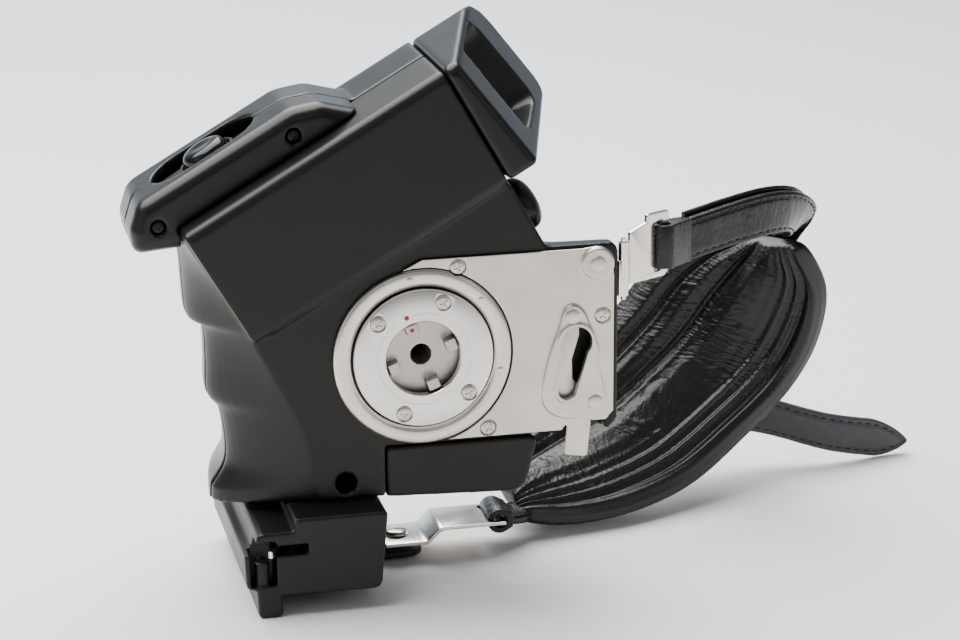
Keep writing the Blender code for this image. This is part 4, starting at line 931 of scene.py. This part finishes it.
def plate_pieces():
    sheet = slab([plate_outline()], -PLATE_THICK, 0.0)
    steps = [plus(slab([spline(PANEL)], -0.4, PANEL_RISE)),
             plus(slab([keyhole_outline(0.9)], -0.4, 1.1)),
             minus(slab([keyhole_outline()], -2.0, 2.0)),
             plus(cylinder(3.9, -0.4, PANEL_RISE, CORNER_BOSS)),
             minus(cylinder(0.95, -2.0, 1.0, LEVER_PIVOT, 32))]
    steps += [minus(slab([circle(2.05, centre, 32)], -0.6, 1.0)) for centre in PLATE_SCREWS]
    steps += [minus(cylinder(1.25, -2.0, 1.0, centre, 32)) for centre in PLATE_SCREWS]
    sheet = softened(placed(carved(sheet, *steps), facing_plate()), 0.21, 4, tilt=0.0)
    rivets = [domed(radius, 0.5, centre, PANEL_RISE)
              for radius, centre in ((1.9, (42.6, -14.6)), (2.0, CORNER_BOSS))]
    piece("mount_plate", merged(sheet, *rivets), PLATE, "camera_plate", angle=45)
    piece("pivot_rivet", domed(1.9, 0.5, LEVER_PIVOT, PANEL_RISE), PLATE, "lever_rivet")
    ring = turned([(17.5, -PLATE_THICK), (17.7, -0.15), (18.2, 0.28), (18.9, 0.48), (20.3, 0.5),
                   (20.9, 0.46), (21.4, 0.3), (21.75, 0.0), (RING_RADIUS, -0.3),
                   (RING_RADIUS, -PLATE_THICK)], 160, True)
    ring = carved(ring, minus(cylinder(2.15, -2.0, 2.0, PLATE_SCREWS[0])))
    dots = [domed(0.85, 0.22, spot, 0.48) for spot in ((-3.1, 19.4), (14.3, 13.4), (19.0, -4.6))]
    ring = merged(placed(ring, facing_plate()), *dots)
    piece("mount_ring", ring, RING, "coupling_ring", angle=30)
    flange = turned([(MOUTH_RADIUS, -PLATE_THICK), (MOUTH_RADIUS, 0.98), (9.4, FLANGE_RISE),
                     (11.15, FLANGE_RISE), (11.25, 1.08), (11.55, 1.08), (11.65, FLANGE_RISE),
                     (16.65, FLANGE_RISE), (16.95, 1.08), (FLANGE_RADIUS, 0.8),
                     (FLANGE_RADIUS, -PLATE_THICK)], 160, True)
    cuts = [minus(cylinder(radius, low, 2.0, centre))
            for centre in FLANGE_SCREWS for radius, low in ((2.15, 0.54), (1.25, -2.0))]
    flange = placed(carved(flange, *cuts), facing_plate())
    piece("mount_flange", flange, FLANGE, "coupling_flange", angle=30)
    for kind, centres, length, turns, depth in (
            ("plate_screw", PLATE_SCREWS, 2.6, (25, 42, 59), 0.64),
            ("flange_screw", FLANGE_SCREWS, 3.4, (29, 58, 87, 116), -0.56)):
        for number, (centre, turn) in enumerate(zip(centres, turns), 1):
            screw = placed(cross_screw(1.9, 0.62, length, turn), facing_plate(*centre, depth))
            piece(f"{kind}_{number}_head", screw, SCREW, f"{kind}_{number}")
    piece("claw", softened(node_mesh("drive_claw"), 0.2, 3, tilt=0.0), CLAW, "drive_claw",
          body="drive_spindle", angle=40)
    piece("claw_mark", domed(0.55, 0.08, (-2.6, 6.95), CLAW_LUG_TOP), RED, body="drive_spindle")
    piece("flange_mark", domed(0.62, 0.08, (-4.1, 10.4), FLANGE_RISE), RED)
    outline = rounded([(x, z, 0.9) for x, z in LEVER_OUTLINE], 6)
    lever = slab([outline, circle(0.95, LEVER_PIVOT, 32)], -0.4, 0.4, 0.14)
    piece("lever_blade", placed(lever, facing_plate(y=2.0)), PLATE, "lock_lever", body="lock_lever",
          angle=40)


# ---------------------------------------------------------------- brackets

def bracket_pieces():
    lug = merged(box((1.0, 7.0, 9.0), (49.6, 5.2, 15.4), 0.3),
                 cylinder(1.3, 11.0, 24.4, HINGE_AXIS), cylinder(0.7, 10.0, 25.4, HINGE_AXIS))
    piece("hinge_lug", lug, LUG, "strap_lug")
    outline = rounded([(1.8, 13.4, 0.6), (13.6, 13.4, 0.8), (15.0, 14.8, 0.8), (15.0, 30.0, 0.8),
                       (7.4, 30.0, 0.8), (7.4, 28.0, 0.4), (1.8, 26.4, 0.6)])
    slot = rectangle(2.4, 12.4, 0.6, (11.2, 21.2))
    loop = slab([outline, slot], -0.5, 0.5, 0.18)
    piece("strap_bracket", placed(loop, bracket_frame(0.0, 0.0)), BRIGHT, "strap_loop", angle=45)
    thick, step, level, middle = 0.9, -55.4, -52.0, 27.0
    upper = [(-6.0, step, 0.3), (4.6, step, 2.0), (8.0, level, 2.0), (25.2, level, 0.3)]
    lower = [(25.2, level - thick, 0.3), (8.5, level - thick, 2.6), (5.1, step - thick, 1.4),
             (-6.0, step - thick, 0.3)]
    strip = slab([rounded(list(reversed(upper + lower)), 6)], -7.2, 7.2, 0.2)
    strip = carved(placed(strip, facing_plate(y=middle)),
                   minus(box((2.6, 11.8, 11.4), (21.6, middle, -52.4), 0.5)),
                   minus(cylinder(0.9, -60.0, -50.0, (-2.0, middle))))
    piece("lower_bracket", strip, BRIGHT, "bottom_bracket", angle=40)
    upright = Matrix.Translation((-2.0, middle, 0.0))
    washer = turned([(0.9, -57.3), (0.9, -56.6), (3.9, -56.6), (4.2, -56.8), (4.2, -57.1),
                     (3.9, -57.3)], closed=True)
    piece("lower_washer", placed(washer, upright), BRIGHT, "bracket_washer")
    screw = turned([(0.0, -54.0), (1.5, -54.05), (2.4, -54.25), (2.85, -54.6), (3.0, -55.0),
                    (0.6, -55.0), (0.6, -59.9), (0.0, -59.9)], 48)
    screw = carved(screw, minus(box((6.4, 0.6, 1.0), (0.0, 0.0, -54.0))))
    piece("lower_screw", placed(screw, upright), SCREW, "bracket_screw")


# ---------------------------------------------------------------- leather strap and pad

PAD_OUTER_EDGE = [(110, 37, 10), (118, 43, -4), (118, 49, -20), (111.3, 50.5, -33.2),
                  (97.5, 46.5, -44.3), (80.5, 38.5, -53.2), (62, 30.5, -56.4), (44.5, 27.5, -57),
                  (31, 26, -54.5)]
PAD_INNER_EDGE = [(97, 60, 8), (88, 65, 6), (77, 68, -1), (68, 69, -12), (58, 69, -23),
                  (48, 68, -32), (38, 65, -38), (30, 56, -43), (28, 42, -48)]
# Across the hand side, from the inner edge (0) to the outer (1): (place, mm above the core).
PAD_PROFILE = [(0.0, 0.0), (0.04, 1.6), (0.10, 2.0), (0.15, 0.9), (0.175, 0.0), (0.21, 1.2),
               (0.27, 2.2), (0.33, 1.4), (0.37, 0.0), (0.42, 1.3), (0.50, 2.4), (0.58, 2.3),
               (0.66, 1.5), (0.71, 0.9), (0.735, 1.5), (0.76, 0.8), (0.785, 0.5), (0.81, 1.3),
               (0.835, 0.5), (0.86, 0.0), (0.90, 1.9), (0.94, 2.5), (0.975, 1.8), (1.0, 0.0)]
PAD_ALONG = 620
PAD_ACROSS = 170


def pad_section(where):
    """At a place along the pad: its middle, its width and the way out from the hand."""
    step, last = 0.05, len(PAD_OUTER_EDGE) - 1
    places = (where, min(where + step, last), max(where - step, 0.0))
    outer, inner, *ends = [path_point(edge, place)
                           for place in places for edge in (PAD_OUTER_EDGE, PAD_INNER_EDGE)]
    travel = (ends[0] + ends[1] - ends[2] - ends[3]).normalized()
    width = outer - inner
    away = width.cross(travel).normalized()
    return (outer + inner) / 2, width, away


def profile_height(place):
    for (x0, h0), (x1, h1) in zip(PAD_PROFILE, PAD_PROFILE[1:]):
        if place <= x1:
            part = (place - x0) / (x1 - x0)
            return h0 + (h1 - h0) * (part * part * (3 - 2 * part))
    return PAD_PROFILE[-1][1]


def leather_grain(point, pull, side, amount):
    """Pebbles, and fine creases that run across the pull of the strap."""
    along, over = point.dot(pull), point.dot(side)
    drift = 1.3 * noise.noise(point * 0.12)
    crease = abs(noise.noise(Vector((along * 0.72 + drift, over * 0.15, 3.0))))
    fine = abs(noise.noise(Vector((along * 1.15, over * 0.42 + drift, 7.0))))
    pebble = abs(noise.noise(point * 0.95))
    patch = 0.6 + 0.5 * noise.noise(point * 0.07 + Vector((9, 4, 7)))
    return amount * patch * (0.50 * crease + 0.26 * fine + 0.10 * pebble)


def pad_grid():
    """Points of the pad: hand side and outer side of a flat oval, row by row along it."""
    last = len(PAD_OUTER_EDGE) - 1
    rows = []
    for station in range(PAD_ALONG + 1):
        share = station / PAD_ALONG
        where = share * last
        centre, width, away = pad_section(where)
        travel = (pad_section(min(where + 0.02, last))[0]
                  - pad_section(max(where - 0.02, 0.0))[0]).normalized()
        end_round = math.sqrt(max(0.0, 1 - abs(2 * share - 1) ** 8))
        half = width * (0.40 + 0.10 * end_round)
        fade = 0.30 + 0.70 * end_round
        thick = PAD_THICK / 2 * (0.45 + 0.55 * end_round)
        row = []
        for index in range(2 * PAD_ACROSS):
            front = index < PAD_ACROSS
            place = index / PAD_ACROSS if front else 2 - index / PAD_ACROSS
            across = 2 * place - 1
            bulge = math.sqrt(max(0.0, 1 - abs(across) ** 5))
            if front:
                height = (thick - 2.4) * bulge + profile_height(place) * fade + 0.4
                point = centre + half * across - away * height * min(1.0, bulge * 1.2)
            else:
                point = centre + half * across + away * (thick - 0.9) * bulge
            normal = -away if front else away
            sag = 0.9 * noise.noise(point * 0.028 + Vector((3, 8, 1))) * bulge
            rough = fade if place < 0.86 and front else 0.25
            rise = leather_grain(point, travel, width.normalized(), rough)
            row.append(point + normal * (sag + rise))
        rows.append(row)
    return rows


def strap_ribbon(stations, width, thickness, count, groove, ends=None):
    """A flat leather strap through (centre, width direction) stations, with soft edges and a grain.

    A groove for the stitches runs along both edges; ends() gives the share of the width there.
    """
    centres = [centre for centre, _ in stations]
    widths = [direction for _, direction in stations]
    last = len(stations) - 1
    rings = []
    frames = []
    section = [(-side + side * 2 * index / 24, side) for side in (1.0, -1.0) for index in range(25)]
    groove_width, groove_depth = 0.45, 0.28
    for index in range(count + 1):
        where = last * index / count
        centre = path_point(centres, where)
        across = path_point(widths, where).normalized()
        travel = (path_point(centres, min(where + 0.05, last))
                  - path_point(centres, max(where - 0.05, 0.0))).normalized()
        away = across.cross(travel).normalized()
        narrow = ends(index / count) if ends else 1.0
        half = width / 2 * narrow
        frames.append((centre, across, away, travel, half))
        ring = []
        for u, side in section:
            edge = math.sqrt(max(0.0, 1 - abs(u) ** 14))
            height = thickness / 2 * (0.35 + 0.65 * edge)
            gap = (abs(u) * half - (half - groove)) / groove_width
            height -= groove_depth * math.exp(-gap * gap)
            point = centre + across * (u * half) + away * (height * side)
            grain = 0.06 * (noise.noise(point * 1.1) + 0.6 * noise.noise(point * 2.7))
            grain += 0.10 * noise.noise(Vector((point.dot(travel) * 0.25, u * 0.8, side * 3.0)))
            ring.append(point + away * grain * side)
        rings.append(ring)
    return loft(rings), frames


STITCH_PITCH = 2.6
STITCH_LENGTH = 1.7
STITCH_RADIUS = 0.26
# Along a thread, from end to end: (place, share of its radius).
STITCH_PROFILE = [(-0.5, 0.25), (-0.42, 0.8), (-0.2, 1.0), (0.2, 1.0), (0.42, 0.8), (0.5, 0.25)]


def stitch_row(frames, edge, lift, hand, side):
    """Short round-ended threads along one edge (hand) and one face (side) of a strap."""
    stitches = []
    path = [centre + across * (hand * max(half - edge, 0.3)) + away * (lift * side)
            for centre, across, away, _, half in frames]
    run = 0.0
    for index in range(1, len(path)):
        run += (path[index] - path[index - 1]).length
        if run < STITCH_PITCH:
            continue
        run = 0.0
        _, across, away, travel, _ = frames[index]
        spokes = [across * math.cos(turn) + away * math.sin(turn)
                  for turn in [math.pi * step / 4 for step in range(8)]]
        rings = []
        for place, size in STITCH_PROFILE:
            middle = path[index] + travel * (place * STITCH_LENGTH)
            sink = away * side * (-0.12 * abs(place) * 2)
            rings.append([middle + sink + spoke * STITCH_RADIUS * size for spoke in spokes])
        stitches.append(loft(rings))
    return stitches


def stitching(name, frames, edge, lift):
    """The stitches along both edges and on both faces of a strap, as one piece."""
    rows = [stitch_row(frames, edge, lift, hand, side) for hand in (-1, 1) for side in (-1, 1)]
    piece(name, merged(*[thread for row in rows for thread in row]), THREAD)


def strap_eye(length):
    """A strap's end folded round a bar, drawn out to a length."""
    outer = arc((0.0, 0.0), 3.2, 70, 290, 40) + [(length, -1.7), (length, 1.7)]
    return slab([outer, circle(1.75, steps=48)], -STRAP_WIDTH / 2, STRAP_WIDTH / 2, 0.35)


def strap_pieces():
    piece("leather_pad", loft(pad_grid()), PAD_LEATHER, "strap_pad", angle=80)

    outside = []
    for where in (0.6, 1.8, 3.0, 4.2):
        centre, width, away = pad_section(where)
        outside.append((centre + away * (PAD_THICK / 2 + 2.6), width.normalized()))
    lead = [(Vector(place), UP + Vector(lean)) for place, lean in (
        ((70.1, 13.4, 21.0), (0.0, 0.0, 0.0)), ((83.5, 20.0, 22.2), (0.0, 0.0, 0.0)),
        ((95.5, 26.6, 22.4), (0.0, 0.0, 0.0)), ((104.5, 34.0, 20.4), (0.3, -0.1, 0.0)),
        ((110.6, 45.0, 15.0), (0.9, -0.3, 0.0)))]
    strap, frames = strap_ribbon(lead + outside, STRAP_WIDTH, STRAP_THICK, 260, EDGE_GROOVE)
    piece("strap_band", strap, STRAP_LEATHER, "hand_strap", angle=70)
    stitching("strap_band_stitches", frames, EDGE_GROOVE, 1.12)

    over = [(centre + Vector((-0.6, 2.4, 1.1)), across) for centre, across in lead]
    second, _ = strap_ribbon(over, STRAP_WIDTH * 0.96, 1.5, 90, 1.2)
    piece("strap_second_layer", second, STRAP_LEATHER, angle=70)

    centre, _, away = pad_section(4.2)
    root = centre + away * (PAD_THICK / 2 + 5.3)
    lean = Vector((-0.08, 0.0, 1.0))
    path = [(root, Vector((0.28, 0.44, 0.81))), (Vector((104.0, 66.0, -44.5)), lean),
            (Vector((128.0, 63.0, -51.5)), lean), (Vector((151.0, 66.0, -56.5)), lean)]

    def tongue(share):
        return 1.0 if share < 0.82 else max(0.06, 1 - ((share - 0.82) / 0.18) ** 1.5 * 0.92)

    tail, frames = strap_ribbon(path, STRAP_WIDTH, 2.0, 200, 1.5, tongue)
    piece("strap_end", tail, TAIL_LEATHER, "strap_tail", angle=70)
    stitching("strap_end_stitches", frames[:190], 1.5, 0.82)

    bar = bracket_frame(13.7, 21.2).translation
    upper = placed(strap_eye(8.0), frame_at(bar, BRACKET_OUT, UP.cross(BRACKET_OUT)))
    piece("upper_eye", upper, STRAP_LEATHER, "strap_top_eye", angle=50)
    low_centre, low_width, _ = pad_section(7.3)
    path = [(Vector((26.0, 27.0, -52.6)), DEPTH), (Vector((29.5, 28.5, -53.2)), DEPTH),
            (Vector((34.0, 32.0, -52.6)), DEPTH + Vector((0.1, 0.0, 0.25))),
            (low_centre, low_width.normalized() * -1)]
    tab, _ = strap_ribbon(path, STRAP_WIDTH, STRAP_THICK, 60, EDGE_GROOVE)
    piece("lower_strap_tab", tab, STRAP_LEATHER, angle=70)
    piece("lower_eye", placed(strap_eye(3.4), facing_plate(24.0, -52.5, 27.0)), STRAP_LEATHER,
          "strap_lower_eye", angle=50)


main_casing()
pod_cover()
magazine_cap()
lower_pieces()
control_pieces()
plate_pieces()
bracket_pieces()
strap_pieces()


# ---------------------------------------------------------------- studio

def studio_floor():
    """A pale sweep: level under the part, curving up behind it, with painted shade that darkens it to blue-grey
    towards the back.
    """
    profile = [(-2.2, 0.0), (-0.6, 0.0), (0.6, 0.0)]
    profile += [(0.6 + 0.9 * sine, 0.9 * (1 - cosine)) for sine, cosine in quarter(16, 1)]
    profile.append((1.5, 3.0))
    work = bmesh.new()
    rows = [[work.verts.new((x, y, z)) for x in (-2.6, 2.6)] for y, z in profile]
    for low, high in zip(rows, rows[1:]):
        work.faces.new((low[0], low[1], high[1], high[0]))
    mesh = finished(work)
    mesh.shade_smooth()
    sweep = Shader("paper_sweep", (0.72, 0.71, 0.695), 0.72)
    parts = sweep.node("ShaderNodeSeparateXYZ")
    sweep.link(sweep.coordinates(), parts.inputs["Vector"])
    # painted shade: the sweep's colour darkens and turns blue-grey towards the back, standing in for the light
    # falling off up the backdrop
    back = sweep.ramp(parts.outputs["Y"], 0.0, 900.0)
    sweep.colour(sweep.blend(back, (0.80, 0.775, 0.755), (0.55, 0.62, 0.70)))
    sweep.bump(sweep.noise(0.4, 3.0), 0.05, 0.05)
    mesh.materials.append(sweep.material)
    made = bpy.data.objects.new("studio_floor", mesh)
    bpy.context.scene.collection.objects.link(made)


def softbox(name, place, target, size, power, colour):
    light = bpy.data.lights.new(name, "AREA")
    light.shape = "RECTANGLE"
    light.size, light.size_y = size
    light.energy = power
    light.color = colour
    made = bpy.data.objects.new(name, light)
    made.location = place
    made.rotation_euler = (Vector(target) - Vector(place)).to_track_quat("-Z", "Y").to_euler()
    bpy.context.scene.collection.objects.link(made)


CAMERA_PLACE = Vector((-130.6, -626.7, 204.9))


def photo_camera():
    """The photograph's view: azimuth -13 degrees, 17 degrees up, a 105 mm lens."""
    azimuth, elevation, roll = math.radians(-13.0), math.radians(17.0), math.radians(-0.4)
    level = math.cos(elevation)
    forward = Vector((-math.sin(azimuth) * level, math.cos(azimuth) * level, -math.sin(elevation)))
    right = forward.cross(UP).normalized()
    top = right.cross(forward)
    turned_right = right * math.cos(roll) + top * math.sin(roll)
    turned_top = top * math.cos(roll) - right * math.sin(roll)
    data = bpy.data.cameras.new("photo_camera")
    data.lens = 105.0
    data.sensor_width = 36.0
    camera = bpy.data.objects.new("photo_camera", data)
    rows = Matrix((turned_right, turned_top, -forward)).transposed().to_4x4()
    camera.matrix_world = Matrix.Translation(TO_WORLD @ CAMERA_PLACE) @ rows
    bpy.context.scene.collection.objects.link(camera)
    bpy.context.scene.camera = camera


studio_floor()
softbox("overhead", (-0.25, 0.35, 0.95), (0.0, 0.0, 0.05), (1.5, 1.1), 50.0, (1.0, 0.99, 0.97))
softbox("left_fill", (-1.2, -0.5, 0.5), (0.0, 0.0, 0.06), (0.8, 0.8), 1.6, (0.95, 0.98, 1.0))
softbox("right_fill", (1.0, -0.9, 0.6), (0.0, 0.0, 0.05), (0.7, 0.7), 1.4, (1.0, 0.99, 0.97))
softbox("front_card", (-0.2, -1.4, 0.9), (0.0, 0.0, 0.05), (1.0, 0.5), 1.0, (1.0, 1.0, 1.0))
world = bpy.data.worlds.new("studio")
world.use_nodes = True
world.node_tree.nodes["Background"].inputs["Color"].default_value = (0.93, 0.96, 1.0, 1.0)
world.node_tree.nodes["Background"].inputs["Strength"].default_value = 0.22
bpy.context.scene.world = world
photo_camera()
